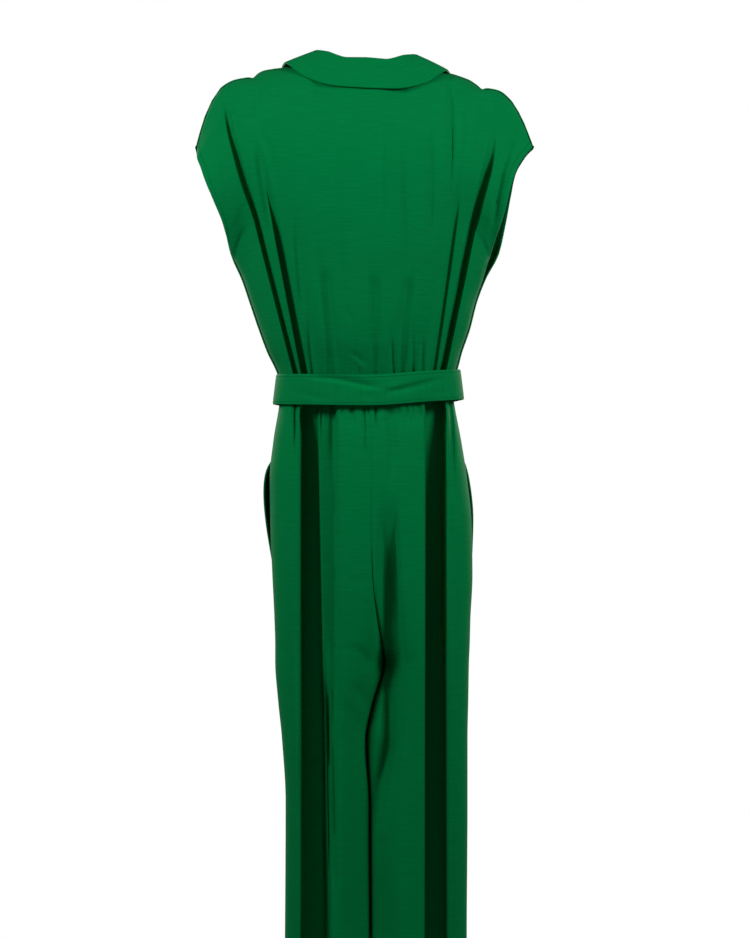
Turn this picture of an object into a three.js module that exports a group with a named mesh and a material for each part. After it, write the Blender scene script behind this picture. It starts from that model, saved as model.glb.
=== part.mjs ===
// A jumpsuit of light woven cloth, filled out as when it is worn: crossed fronts, a gathered back, a
// fold-over collar, a tie belt, side pockets and wide legs that hang in deep vertical folds.
// Millimetres, +Z up, +X to the wearer's left, -Y to the front. The origin lies between the shoulder seams.
import * as THREE from "three";

const CLOTH = 1.5; // wall of a single layer
const DOUBLE = 2.4; // wall of two layers sewn together: collar, belt and pocket bags
const SEAM = 0.3; // clear gap between pieces that meet at a seam
const LAP = 4.6; // how far the outer front stands out from the one below it

const WAIST_Z = -420; // seam between bodice and trousers, under the belt
const HEM_Z = -1430;
const NECK_HALF = 82; // from the middle of the neck to its side
const NECK_BACK_Z = -18; // lowest point of the back neckline
const NECK_BACK_Y = 58; // how far behind the shoulder seams the back neckline lies
const SHOULDER_ROUND = 7; // a higher power turns the shoulder over more tightly
const BODY_SQUARE = 0.85; // below 1 the rings round the body are squarer than an ellipse
const LEG_SQUARE = 0.46; // the same for the rings round each leg
const LEG_HEAD = 100; // how far above the waist the legs' folds would begin
const RIDGE = 5; // least width of the crest between two folds that crowd together

// Bodice sizes from the waist seam (0) to the shoulder seam (1). left and right are the reach of the back's
// edge from the middle, frontRight that of the right front's edge; back and front are the depths.
const BODICE = [
  { h: 0, left: 114, right: 115, frontRight: 115, back: 84, front: 83 },
  { h: 0.06, left: 121, right: 122, frontRight: 122, back: 91, front: 91 },
  { h: 0.13, left: 132, right: 128, frontRight: 128, back: 99, front: 99 },
  { h: 0.23, left: 144, right: 139, frontRight: 139, back: 105, front: 108 },
  { h: 0.34, left: 156, right: 148, frontRight: 148, back: 109, front: 116 },
  { h: 0.44, left: 167, right: 159, frontRight: 160, back: 112, front: 121 },
  { h: 0.56, left: 184, right: 171, frontRight: 180, back: 113, front: 124 },
  { h: 0.69, left: 196, right: 185, frontRight: 191, back: 112, front: 121 },
  { h: 0.83, left: 215, right: 196, frontRight: 200, back: 106, front: 112 },
  { h: 0.9, left: 223, right: 204, frontRight: 205, back: 101, front: 105 },
  { h: 0.96, left: 230, right: 216, frontRight: 216, back: 97, front: 98 },
  { h: 1, left: 231, right: 227, frontRight: 227, back: 94, front: 94 },
];

// The angle that the back or a front goes round to its edge: less than a quarter turn beside the armhole.
const ARMHOLE = [
  { h: 0, swing: 90 },
  { h: 0.51, swing: 90 },
  { h: 0.55, swing: 84 },
  { h: 0.6, swing: 77.5 },
  { h: 0.64, swing: 72.5 },
  { h: 0.7, swing: 67.5 },
  { h: 0.77, swing: 64 },
  { h: 0.84, swing: 63 },
  { h: 0.9, swing: 67 },
  { h: 0.96, swing: 76 },
  { h: 1, swing: 88 },
];

// The line of the shoulders seen from behind, from the right sleeve's tip to the left one's.
const SHOULDER = [
  { x: -227, z: -100 },
  { x: -215, z: -67 },
  { x: -199, z: -38 },
  { x: -182, z: -24 },
  { x: -158, z: -19 },
  { x: -140, z: -9 },
  { x: -110, z: 0 },
  { x: -82, z: 3 },
  { x: 82, z: 9 },
  { x: 110, z: 7 },
  { x: 140, z: 3 },
  { x: 158, z: -5 },
  { x: 182, z: -10 },
  { x: 199, z: -20 },
  { x: 215, z: -46 },
  { x: 224, z: -72 },
  { x: 231, z: -100 },
];

// The free edge of a front, across from the middle; below 0 it has crossed over to the other side.
const WRAP = [
  { h: 0, x: -66 },
  { h: 0.13, x: -47 },
  { h: 0.27, x: -24 },
  { h: 0.4, x: 0 },
  { h: 0.56, x: 20 },
  { h: 0.75, x: 42 },
  { h: 0.91, x: 63 },
  { h: 1, x: 82 },
];

// Trouser sizes down from the waist seam. middle is where the two legs meet. joined goes from 1 where they
// are one tube to 0 where each leg is a tube of its own, and oval from 1 where the sides round away like the
// waist to 0 where they are as square as a leg.
const TROUSERS = [
  { z: -1430, middle: -6, left: 113, right: 139, back: 80, front: 80, joined: 0, oval: 0 },
  { z: -1174, middle: -6, left: 110, right: 136, back: 80, front: 80, joined: 0, oval: 0 },
  { z: -987, middle: -5, left: 109, right: 137, back: 84, front: 84, joined: 0, oval: 0 },
  { z: -900, middle: -1, left: 114, right: 137, back: 87, front: 87, joined: 0, oval: 0.04 },
  { z: -850, middle: -10, left: 119, right: 138, back: 90, front: 90, joined: 0, oval: 0.11 },
  { z: -795, middle: -24, left: 123, right: 139, back: 94, front: 92, joined: 0, oval: 0.22 },
  { z: -775, middle: -22, left: 123, right: 140, back: 95, front: 93, joined: 0.4, oval: 0.27 },
  { z: -740, middle: -16, left: 124, right: 141, back: 97, front: 94, joined: 0.75, oval: 0.36 },
  { z: -680, middle: -9, left: 127, right: 144, back: 100, front: 96, joined: 0.94, oval: 0.53 },
  { z: -610, middle: -7, left: 130, right: 143, back: 101, front: 97, joined: 0.985, oval: 0.73 },
  { z: -550, middle: -7, left: 131, right: 137, back: 100, front: 97, joined: 1, oval: 0.88 },
  { z: -498, middle: -6, left: 126, right: 129, back: 97, front: 94, joined: 1, oval: 0.97 },
  { z: -456, middle: -3, left: 119, right: 121, back: 89, front: 88, joined: 1, oval: 1 },
  { z: -420, middle: -1, left: 114, right: 115, back: 84, front: 83, joined: 1, oval: 1 },
];

// Deep folds of the bodice: each a trough from its upper end, at h and x, to toX at the waist. half is half
// the floor's width, right and left the runs of its two flanks, depth how far it is pressed in.
const BACK_FOLDS = [
  { x: -175, h: 0.92, toX: -99, half: 3, right: 9, left: 9, depth: 17 },
  { x: -126, h: 0.7, toX: -84, half: 2, right: 9, left: 9, depth: 7 },
  { x: -60, h: 0.34, toX: -45, half: 2, right: 8, left: 8, depth: 4 },
  { x: -12, h: 0.36, toX: -12, half: 2, right: 8, left: 8, depth: 4 },
  { x: 57, h: 0.36, toX: 42, half: 2, right: 8, left: 8, depth: 5 },
  { x: 138, h: 0.73, toX: 79, half: 3, right: 9, left: 9, depth: 15 },
  { x: 188, h: 0.97, toX: 92.5, half: 1.5, right: 8, left: 8, depth: 14 },
];

// Folds of the fronts, which are hidden in the view that the rest is taken from: like the back's, but more
// even.
const FRONT_FOLDS = [
  { x: -186, h: 0.9, toX: -100, half: 3, right: 8, left: 8, depth: 7 },
  { x: -142, h: 0.86, toX: -80, half: 3, right: 8, left: 8, depth: 5 },
  { x: 142, h: 0.86, toX: 80, half: 3, right: 8, left: 8, depth: 5 },
  { x: 186, h: 0.9, toX: 100, half: 3, right: 8, left: 8, depth: 7 },
];

// The troughs that part each leg into hanging folds, from the waist to the hem. They widen by spread.
const LEG_FOLDS = [
  { face: 1, x: 77, toX: 66, half: 7.5, spread: 12, right: 6, left: 4, depth: 40 },
  { face: 1, x: -90, toX: -92, half: 9, spread: 3, right: 8, left: 4, depth: 46 },
  { face: -1, x: 66, toX: 62, half: 6, spread: 5, right: 14, left: 8, depth: 38 },
  { face: -1, x: -74, toX: -78, half: 6, spread: 5, right: 8, left: 14, depth: 38 },
];

// Small pleats: every second column of a gathered panel is drawn in by height, dying out over reach.
const WAIST_GATHER = { back: 3, front: 1.2, reach: 42 };
const SHOULDER_GATHER = { height: 2.2, reach: 0.1 };

// Side pockets: the front's edge stands out from the back's by gape between top and bottom, and a bag lies
// inside it, under the outermost columns of the front.
const POCKET = { top: -528, bottom: -668, gapeLeft: 11, gapeRight: 6, gapeColumns: 4 };
const BAG = { top: -518, bottom: -700, columns: 8 };

// The belt's ring: how far it stands out to each side, and more so at its lower edge by flare. It narrows
// by pinch, as a share of its height, where it nears the knot. BELT_LINE is its middle, by the turn from
// the middle of the back.
const BELT = { height: 45, flare: 5, left: 121, right: 125, back: 93, front: 97, pinch: 0.22, columns: 44 };
const BELT_LINE = [
  { turn: -180, z: -439 },
  { turn: -90, z: -427 },
  { turn: -45, z: -430 },
  { turn: 0, z: -435 },
  { turn: 45, z: -434 },
  { turn: 90, z: -432 },
  { turn: 180, z: -439 },
];
const KNOT = { x: 8, z: -440, wide: 40, tall: 46, deep: 22, rings: 9, around: 16 };

// The belt's free ends. Each drifts sideways by spread, stands proud of the other and sways by wave.
const TAILS = [
  { name: "belt_tail_left", x: 20, spread: 18, proud: 5, length: 345, wide: 44, wave: -4 },
  { name: "belt_tail_right", x: -4, spread: -15, proud: 0, length: 378, wide: 44, wave: 4 },
];

// The collar from the middle of the back (0) to its front point (1): where its fold and its free edge lie.
// The seam that it stands on is the neckline.
const COLLAR = [
  { at: 0, foldX: 0, foldY: 50, foldZ: 13, edgeX: 0, edgeY: 81, edgeZ: -32 },
  { at: 0.14, foldX: 25, foldY: 45, foldZ: 14, edgeX: 41, edgeY: 75, edgeZ: -28 },
  { at: 0.3, foldX: 52, foldY: 28, foldZ: 25, edgeX: 80, edgeY: 54.5, edgeZ: -13 },
  { at: 0.45, foldX: 65, foldY: 3, foldZ: 29, edgeX: 110, edgeY: 19, edgeZ: 13 },
  { at: 0.62, foldX: 67, foldY: -30, foldZ: 22, edgeX: 116, edgeY: -27, edgeZ: 12 },
  { at: 0.8, foldX: 63, foldY: -77, foldZ: -10, edgeX: 112, edgeY: -78, edgeZ: -26 },
  { at: 1, foldX: 53, foldY: -113, foldZ: -66, edgeX: 98, edgeY: -113, edgeZ: -88 },
];
const COLLAR_END = 0.2; // how far down the front, in h, the collar is sewn on
const COLLAR_TILT = 0.09; // how much lower, per millimetre across, the collar lies on the wearer's right
const COLLAR_ROLL = 4.6; // radius of the roll at its fold
const COLLAR_STATIONS = 32;

// The rows and columns of the panels. Columns are counted for each stretch across, from one edge past every
// fold's flank, floor and flank to the next edge.
const BODICE_ROWS = [
  0, 0.06, 0.12, 0.2, 0.3, 0.41, 0.51, 0.56, 0.62, 0.7, 0.78, 0.86, 0.92, 0.965, 0.99, 1,
];
const BACK_COLUMNS = [
  3, 2, 1, 2, 1, 1, 1, 1, 5, 1, 1, 1, 3, 1, 1, 1, 4, 1, 1, 1, 5, 2, 1, 2, 2, 2, 1, 2, 2,
];
const FRONT_COLUMNS = [1, 2, 1, 2, 3, 2, 1, 2, 13];
const LEG_ROWS = [
  -420, -440, -460, -485, -518, -560, -610, -655, -700, -740, -772, -797, -840, -900, -987, -1174, -1430,
];
const LEG_COLUMNS = [7, 4, 2, 2, 9];

const DEG = Math.PI / 180;
const mix = (a, b, t) => a + (b - a) * t;
const clampTo = (t, low, high) => Math.min(high, Math.max(low, t));
const clamp01 = (t) => clampTo(t, 0, 1);
const smooth = (t) => clamp01(t) ** 2 * (3 - 2 * clamp01(t));

// A table's column as a smooth curve over its key column, with no overshoot between rows.
function track(rows, key, column) {
  const x = rows.map((row) => row[key]);
  const y = rows.map((row) => row[column]);
  const rise = x.slice(1).map((next, i) => (y[i + 1] - y[i]) / (next - x[i]));
  const slope = y.map((_, i) => {
    const before = rise[Math.max(0, i - 1)];
    const after = rise[Math.min(rise.length - 1, i)];
    return before * after <= 0 ? 0 : (2 * before * after) / (before + after);
  });
  return (at) => {
    const value = Math.min(x[x.length - 1], Math.max(x[0], at));
    let i = 0;
    while (i < x.length - 2 && value > x[i + 1]) i += 1;
    const run = x[i + 1] - x[i];
    const t = (value - x[i]) / run;
    const ends = (1 + 2 * t) * (1 - t) ** 2 * y[i] + t * t * (3 - 2 * t) * y[i + 1];
    return ends + run * t * (1 - t) * ((1 - t) * slope[i] - t * slope[i + 1]);
  };
}

// Every column of a table as such a curve.
function tracks(rows, key) {
  const columns = Object.keys(rows[0]).filter((name) => typeof rows[0][name] === "number");
  return Object.fromEntries(columns.map((name) => [name, track(rows, key, name)]));
}

const bodice = tracks(BODICE, "h");
const trousers = tracks(TROUSERS, "z");
const collar = tracks(COLLAR, "at");
const shoulderZ = track(SHOULDER, "x", "z");
const wrapX = track(WRAP, "h", "x");
const swingAt = track(ARMHOLE, "h", "swing");
const beltZ = track(BELT_LINE, "turn", "z");

// The middle of a fold at a share of its way down, and its four marks across: flank, floor, floor, flank.
const foldMiddle = (fold, down) => mix(fold.x, fold.toX, clamp01(down));
const foldHalf = (fold, down) => fold.half + (fold.spread ?? 0) * clamp01(down);

function foldMarks(fold, down) {
  const middle = foldMiddle(fold, down);
  const half = foldHalf(fold, down);
  return [middle - half - fold.right, middle - half, middle + half, middle + half + fold.left];
}

// How far a set of folds presses the cloth in at x, each of them a share of its way down.
function pressed(folds, x, downOf) {
  let depth = 0;
  for (const fold of folds) {
    const down = downOf(fold);
    const away = x - foldMiddle(fold, down);
    const run = away < 0 ? fold.right : fold.left;
    const side = smooth(1 - (Math.abs(away) - foldHalf(fold, down)) / run);
    depth = Math.max(depth, fold.depth * side * smooth(down * 5));
  }
  return depth;
}

const bodiceDown = (h) => (fold) => (fold.h - h) / fold.h;
const legDown = (z) => () => (WAIST_Z + LEG_HEAD - z) / (WAIST_Z + LEG_HEAD - HEM_Z);

// How strongly a gathered column is drawn in, uneven from one pleat to the next.
const pleat = (column) => (column % 2 ? 0.55 + 0.45 * Math.sin(2.4 * column) : 0);

// Where a bodice section lies across, at the same share as in bodicePoint.
function bodiceAcross(face, share, h) {
  const left = bodice.left(h);
  const right = face > 0 ? bodice.right(h) : bodice.frontRight(h);
  const swing = swingAt(h) * DEG;
  return (left - right) / 2 + ((left + right) / 2) * (Math.sin(swing * share) / Math.sin(swing));
}

// The share at which a section reaches x; across must rise or fall steadily from one end to the other.
function shareAt(across, x, from, to) {
  const rising = across(to) > across(from);
  let [low, high] = [from, to];
  for (let i = 0; i < 30; i += 1) {
    const middle = (low + high) / 2;
    if (across(middle) < x === rising) low = middle;
    else high = middle;
  }
  return (low + high) / 2;
}

// The share of a front's free edge.
function wrapShare(side, h) {
  return shareAt((share) => bodiceAcross(-1, share, h), side * wrapX(h), side, -side);
}

// A point of the bodice. share goes from -1 at the wearer's right edge to 1 at the left one, h from the
// waist seam to the shoulder seam, face is 1 for the back and -1 for the front, out the extra stand-off,
// column the pleat.
function bodicePoint(face, share, h, out = 0, column = 0) {
  const x = bodiceAcross(face, share, h);
  const tipHalf = (bodice.left(1) + bodice.right(1)) / 2;
  const topX = (bodice.left(1) - bodice.right(1)) / 2 + tipHalf * Math.sin(90 * DEG * share);
  const neck = face > 0 ? Math.max(0, 1 - (topX / NECK_HALF) ** 2) : 0;
  const topZ = mix(shoulderZ(topX), NECK_BACK_Z, neck);
  const topY = NECK_BACK_Y * neck ** mix(0.5, 1.5, clamp01((1 - h) * 12));
  const z = mix(WAIST_Z, topZ, h);
  const over = Math.sqrt(Math.max(0, 1 - h ** SHOULDER_ROUND));
  const cosine = Math.max(0, Math.cos(swingAt(h) * DEG * share));
  const full = ((face > 0 ? bodice.back(h) : bodice.front(h)) + out) * cosine ** BODY_SQUARE;
  const fold = pressed(face > 0 ? BACK_FOLDS : FRONT_FOLDS, x, bodiceDown(h));
  const gather = face > 0 ? WAIST_GATHER.back : WAIST_GATHER.front;
  const low = gather * Math.exp((WAIST_Z - z) / WAIST_GATHER.reach);
  const high = neck > 0 ? 0 : SHOULDER_GATHER.height * Math.exp((h - 1) / SHOULDER_GATHER.reach);
  const drawn = pleat(column) * cosine;
  const y = face * mix(topY, full - Math.min(fold, full * 0.6) - low * drawn, over);
  return new THREE.Vector3(x, y, z - high * drawn);
}

// Where a trouser section lies across, at the same share as in legPoint.
function legAcross(side, share, z) {
  const middle = trousers.middle(z);
  const reach = (side > 0 ? trousers.left(z) : trousers.right(z)) - side * middle;
  return middle + side * reach * Math.sin(90 * DEG * share) ** 2;
}

// A point of a trouser panel. share goes from 0 at the middle seam to 1 at the side seam.
function legPoint(face, side, share, z, column = 0) {
  const x = legAcross(side, share, z);
  const out = Math.sin(90 * DEG * share) ** 2;
  const tube = Math.max(0, Math.sin(180 * DEG * share)) ** LEG_SQUARE;
  const ring = Math.max(0, 1 - out * out) ** (BODY_SQUARE / 2);
  const valley = mix(out < 0.5 ? tube : 1, 1, trousers.joined(z));
  const outline = mix(out < 0.5 ? 1 : tube, ring, trousers.oval(z));
  const full = (face > 0 ? trousers.back(z) : trousers.front(z)) * valley * outline;
  const fold = pressed(LEG_FOLDS.filter((one) => one.face === face), x, legDown(z));
  const gather = face > 0 ? WAIST_GATHER.back : WAIST_GATHER.front;
  const fading = Math.min(1, Math.exp((z - WAIST_Z + BELT.height) / WAIST_GATHER.reach));
  const drawn = pleat(column) * gather * fading * ring;
  return new THREE.Vector3(x, face * (full - Math.min(fold, full * 0.5) - drawn), z);
}

// Shares along a part of a section, spaced so that the folded cloth between them is of even length.
function evenShares(section, from, to, count) {
  const steps = 60;
  const walk = [0];
  let last = section(from);
  for (let i = 1; i <= steps; i += 1) {
    const next = section(mix(from, to, i / steps));
    walk.push(walk[i - 1] + next.distanceTo(last));
    last = next;
  }
  const shares = [];
  let i = 0;
  for (let n = 1; n <= count; n += 1) {
    const goal = (walk[steps] * n) / count;
    while (i < steps - 1 && walk[i + 1] < goal) i += 1;
    const part = clamp01((goal - walk[i]) / (walk[i + 1] - walk[i]));
    shares.push(mix(from, to, (i + part) / steps));
  }
  return shares;
}

// The shares of a section's columns: counts holds how many go to each stretch between the marks of its
// folds, so that every fold keeps the same columns from its top to its foot.
function columnShares(section, across, folds, downOf, from, to, counts) {
  const marks = folds.flatMap((fold) => foldMarks(fold, downOf(fold)));
  for (let i = 4; i < marks.length; i += 4) {
    if (marks[i - 1] > marks[i] - RIDGE) {
      const between = (marks[i - 1] + marks[i]) / 2;
      const crest = clampTo(between, marks[i - 2] + RIDGE, marks[i + 1] - RIDGE);
      [marks[i - 1], marks[i]] = [crest - RIDGE / 2, crest + RIDGE / 2];
    }
  }
  const stops = marks.map((x) => shareAt(across, x, from, to));
  if (across(to) < across(from)) stops.reverse();
  const ends = [from, ...stops, to];
  return counts.reduce(
    (shares, count, i) => shares.concat(evenShares(section, ends[i], ends[i + 1], count)),
    [from],
  );
}

// Unit normals of a grid of points, turned to the side given by facing.
function gridNormals(grid, closed, facing) {
  const rows = grid.length;
  const columns = grid[0].length;
  return grid.map((row, r) =>
    row.map((_, c) => {
      const before = closed ? (c - 1 + columns) % columns : Math.max(0, c - 1);
      const after = closed ? (c + 1) % columns : Math.min(columns - 1, c + 1);
      const across = row[after].clone().sub(row[before]);
      const up = grid[Math.min(rows - 1, r + 1)][c].clone().sub(grid[Math.max(0, r - 1)][c]);
      return across.cross(up).normalize().multiplyScalar(facing);
    }),
  );
}

// The grid moved in by a wall's thickness.
function innerGrid(grid, thickness, facing, closed = false) {
  const normals = gridNormals(grid, closed, facing);
  const moved = (point, normal) => point.clone().addScaledVector(normal, -thickness);
  return grid.map((row, r) => row.map((point, c) => moved(point, normals[r][c])));
}

// A closed wall between two grids of the same size, with a rim all round.
function wallGeometry(outer, inner, facing, closed = false) {
  const rows = outer.length;
  const columns = outer[0].length;
  const positions = [...outer.flat(), ...inner.flat()].flatMap((point) => [point.x, point.y, point.z]);
  const layer = rows * columns;
  const index = [];
  const face = (a, b, c, d) => {
    index.push(...(facing > 0 ? [a, b, c, a, c, d] : [a, c, b, a, d, c]));
  };
  const at = (r, c) => r * columns + (c % columns);
  const spans = closed ? columns : columns - 1;
  for (let r = 0; r < rows - 1; r += 1) {
    for (let c = 0; c < spans; c += 1) {
      face(at(r, c), at(r, c + 1), at(r + 1, c + 1), at(r + 1, c));
      face(layer + at(r, c), layer + at(r + 1, c), layer + at(r + 1, c + 1), layer + at(r, c + 1));
    }
  }
  for (let c = 0; c < spans; c += 1) {
    face(at(0, c), layer + at(0, c), layer + at(0, c + 1), at(0, c + 1));
    face(at(rows - 1, c), at(rows - 1, c + 1), layer + at(rows - 1, c + 1), layer + at(rows - 1, c));
  }
  for (let r = 0; r < rows - 1 && !closed; r += 1) {
    const end = columns - 1;
    face(at(r, 0), at(r + 1, 0), layer + at(r + 1, 0), layer + at(r, 0));
    face(at(r, end), layer + at(r, end), layer + at(r + 1, end), at(r + 1, end));
  }
  const geometry = new THREE.BufferGeometry();
  geometry.setAttribute("position", new THREE.Float32BufferAttribute(positions, 3));
  geometry.setIndex(index);
  geometry.computeVertexNormals();
  return geometry;
}

const cloth = new THREE.MeshStandardMaterial({ color: 0x006a37, roughness: 0.78, metalness: 0 });
const bagCloth = new THREE.MeshStandardMaterial({ color: 0x00572d, roughness: 0.85, metalness: 0 });

const sideName = (side) => (side > 0 ? "left" : "right");

function named(name, geometry, material = cloth) {
  const mesh = new THREE.Mesh(geometry, material);
  mesh.name = name;
  return mesh;
}

// Levels a row of points on both faces of a wall, so that seams and hems stay parallel. row counts from the
// first, or backwards from -1 for the last.
function level(grids, row, z) {
  for (const grid of grids) {
    for (const point of grid.at(row)) point.z = z;
  }
}

// Keeps a panel on its own side of the side and shoulder seams, and level at the waist seam.
function seamBodice(grids, face) {
  level(grids, 0, WAIST_Z + SEAM / 2);
  for (const point of grids.flat(2)) point.y = face * Math.max(face * point.y, SEAM / 2);
}

function bodiceBack() {
  const outer = BODICE_ROWS.map((h) => {
    const section = (share) => bodicePoint(1, share, h);
    const across = (share) => bodiceAcross(1, share, h);
    const shares = columnShares(section, across, BACK_FOLDS, bodiceDown(h), -1, 1, BACK_COLUMNS);
    return shares.map((share, c) => bodicePoint(1, share, h, 0, c));
  });
  const inner = innerGrid(outer, CLOTH, -1);
  seamBodice([outer, inner], 1);
  return named("bodice_back", wallGeometry(outer, inner, -1));
}

// One front, from its side to its free edge. The right front lies over the left one.
function bodiceFront(side, out) {
  const folds = FRONT_FOLDS.filter((fold) => fold.x * side > 0);
  const outer = BODICE_ROWS.map((h) => {
    const section = (share) => bodicePoint(-1, share, h, out);
    const across = (share) => bodiceAcross(-1, share, h);
    const free = wrapShare(side, h);
    const shares = columnShares(section, across, folds, bodiceDown(h), side, free, FRONT_COLUMNS);
    return shares.map((share, c) => bodicePoint(-1, share, h, out, c));
  });
  const inner = innerGrid(outer, CLOTH, side);
  seamBodice([outer, inner], -1);
  return named(`bodice_front_${sideName(side)}`, wallGeometry(outer, inner, side));
}

// How far the front's edge stands out at a pocket.
function gape(side, z) {
  const along = (POCKET.top - z) / (POCKET.top - POCKET.bottom);
  const most = side > 0 ? POCKET.gapeLeft : POCKET.gapeRight;
  return along <= 0 || along >= 1 ? 0 : most * Math.sin(Math.PI * along ** 0.6);
}

// The points of a trouser panel's outer face, row by row from the waist to the hem.
function legGrid(face, side) {
  const folds = LEG_FOLDS.filter((fold) => fold.face === face && fold.x * side > 0);
  return LEG_ROWS.map((z) => {
    const section = (share) => legPoint(face, side, share, z);
    const across = (share) => legAcross(side, share, z);
    const shares = columnShares(section, across, folds, legDown(z), 0, 1, LEG_COLUMNS);
    return shares.map((share, c) => legPoint(face, side, share, z, c));
  });
}

function legPanel(face, side) {
  const facing = face * side;
  const outer = legGrid(face, side);
  if (face < 0) {
    LEG_ROWS.forEach((z, r) => {
      const last = outer[r].length - 1;
      outer[r].forEach((point, c) => {
        point.x += side * gape(side, z) * smooth(1 - (last - c) / POCKET.gapeColumns);
      });
    });
  }
  const inner = innerGrid(outer, CLOTH, facing);
  level([outer, inner], 0, WAIST_Z - SEAM / 2);
  level([outer, inner], -1, HEM_Z);
  LEG_ROWS.forEach((z, r) => {
    const middle = trousers.middle(z) + (side * SEAM) / 2;
    for (const grid of [outer, inner]) {
      grid[r][0].x = middle;
      for (const point of grid[r]) {
        point.x = side * Math.max(side * point.x, side * middle);
        point.y = face * Math.max(face * point.y, SEAM / 2);
      }
    }
  });
  const name = `leg_${face > 0 ? "back" : "front"}_${sideName(side)}`;
  return named(name, wallGeometry(outer, inner, facing));
}

// The part of a pocket bag behind the opening: two layers of cloth, its edge sewn in at the side seam.
function pocketBag(side) {
  const front = legGrid(-1, side);
  const facing = -side;
  const layer = (depth) =>
    innerGrid(front, depth, facing)
      .filter((_, r) => LEG_ROWS[r] <= BAG.top && LEG_ROWS[r] >= BAG.bottom)
      .map((row) => row.slice(-1 - BAG.columns));
  const outer = layer(CLOTH + SEAM);
  const inner = layer(CLOTH + SEAM + DOUBLE);
  for (const point of [outer, inner].flat(2)) point.y = Math.min(point.y, -SEAM / 2);
  return named(`pocket_bag_${sideName(side)}`, wallGeometry(outer, inner, facing), bagCloth);
}

// A point of the belt: turn in degrees from the middle of the back towards the wearer's left, up from 0 to 1.
function beltPoint(turn, up, out = 0) {
  const flare = BELT.flare * (1 - up);
  const reach = turn > 0 ? BELT.left : BELT.right;
  const side = mix(reach, (BELT.left + BELT.right) / 2, Math.cos(turn * DEG) ** 2) + flare + out;
  const depth = (Math.abs(turn) < 90 ? BELT.back : BELT.front) + flare * 0.5 + out;
  const pinch = smooth((Math.abs(turn) - 150) / 30);
  const rise = (up - 0.5) * BELT.height * (1 - BELT.pinch * pinch);
  return new THREE.Vector3(
    side * Math.sin(turn * DEG) - 1,
    depth * Math.cos(turn * DEG),
    beltZ(turn) + rise,
  );
}

function beltBand() {
  const ups = [0, 0.5, 1];
  const turns = Array.from({ length: BELT.columns }, (_, c) => (360 * c) / BELT.columns - 180);
  const ring = (up, out) => turns.map((turn) => beltPoint(turn, up, out));
  const outer = ups.map((up) => ring(up, DOUBLE));
  const inner = ups.map((up) => ring(up, 0));
  return named("belt_band", wallGeometry(outer, inner, -1, true));
}

// The half knot: a rounded roll of belt cloth with a waist where the ends are drawn through it.
function beltKnot() {
  const { rings, around } = KNOT;
  const back = beltPoint(180, 0.5, DOUBLE).y - SEAM;
  const points = [];
  const index = [];
  for (let r = 0; r <= rings; r += 1) {
    const lift = -Math.cos((Math.PI * r) / rings);
    const round = Math.sqrt(Math.max(0, 1 - lift ** 4));
    for (let c = 0; c < around; c += 1) {
      const turn = (2 * Math.PI * c) / around;
      const crease = 1 - 0.1 * Math.cos(3 * turn + 2 * lift);
      const x = KNOT.x + 0.5 * KNOT.wide * round * crease * Math.cos(turn) + 3 * lift;
      const y = back - 0.5 * KNOT.deep * (1 + round * crease * Math.sin(turn));
      points.push(x, Math.min(y, back), KNOT.z + 0.5 * KNOT.tall * lift);
    }
  }
  for (let r = 0; r < rings; r += 1) {
    for (let c = 0; c < around; c += 1) {
      const next = (c + 1) % around;
      const [a, b] = [r * around + c, r * around + next];
      const [d, e] = [a + around, b + around];
      if (r > 0) index.push(a, e, b);
      if (r < rings - 1) index.push(a, d, e);
    }
  }
  const geometry = new THREE.BufferGeometry();
  geometry.setAttribute("position", new THREE.Float32BufferAttribute(points, 3));
  geometry.setIndex(index);
  return named("belt_knot", geometry);
}

// A free end of the belt, hanging from under the knot in front of the legs.
function beltTail(tail) {
  const rows = 10;
  const columns = 4;
  const top = KNOT.z - 0.5 * KNOT.tall - SEAM;
  const front = beltPoint(180, 0.5, DOUBLE).y - 0.5 * KNOT.deep;
  const outer = [];
  for (let r = 0; r <= rows; r += 1) {
    const down = r / rows;
    const z = top - tail.length * down;
    const wide = mix(0.5, 1, smooth(down * 5)) * tail.wide;
    const row = [];
    for (let c = 0; c <= columns; c += 1) {
      const share = c / columns - 0.5;
      const cup = 4 * Math.cos(2 * Math.PI * share) * (1 - 0.6 * down);
      const y = front - 3 - tail.proud - cup + tail.wave * Math.sin(2.6 * Math.PI * down) * down;
      row.push(new THREE.Vector3(tail.x + tail.spread * smooth(down * 1.6) + share * wide, y, z));
    }
    outer.push(row);
  }
  const inner = innerGrid(outer, DOUBLE, -1);
  level([outer, inner], 0, top);
  return named(tail.name, wallGeometry(outer, inner, -1));
}

// A point of the neckline's seam, from the right front (-1) round the back (0) to the left front (1).
function necklinePoint(at) {
  const side = Math.sign(at) || 1;
  const s = Math.abs(at);
  if (s < 0.5) {
    const x = NECK_HALF * Math.sin(s * Math.PI);
    const y = NECK_BACK_Y * Math.cos(s * Math.PI);
    const z = mix(shoulderZ(side * x), NECK_BACK_Z, 1 - (x / NECK_HALF) ** 2);
    return new THREE.Vector3(side * (x - 1.2), y - 0.8, z + 0.8);
  }
  const h = 1 - COLLAR_END * ((s - 0.5) / 0.5) ** 2;
  const point = bodicePoint(-1, wrapShare(side, h), h, side < 0 ? LAP : 0);
  const clear = mix(1.2, 3.9, smooth((s - 0.5) / 0.1));
  return point.add(new THREE.Vector3(-clear * side, -2.4, 0.8));
}

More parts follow.
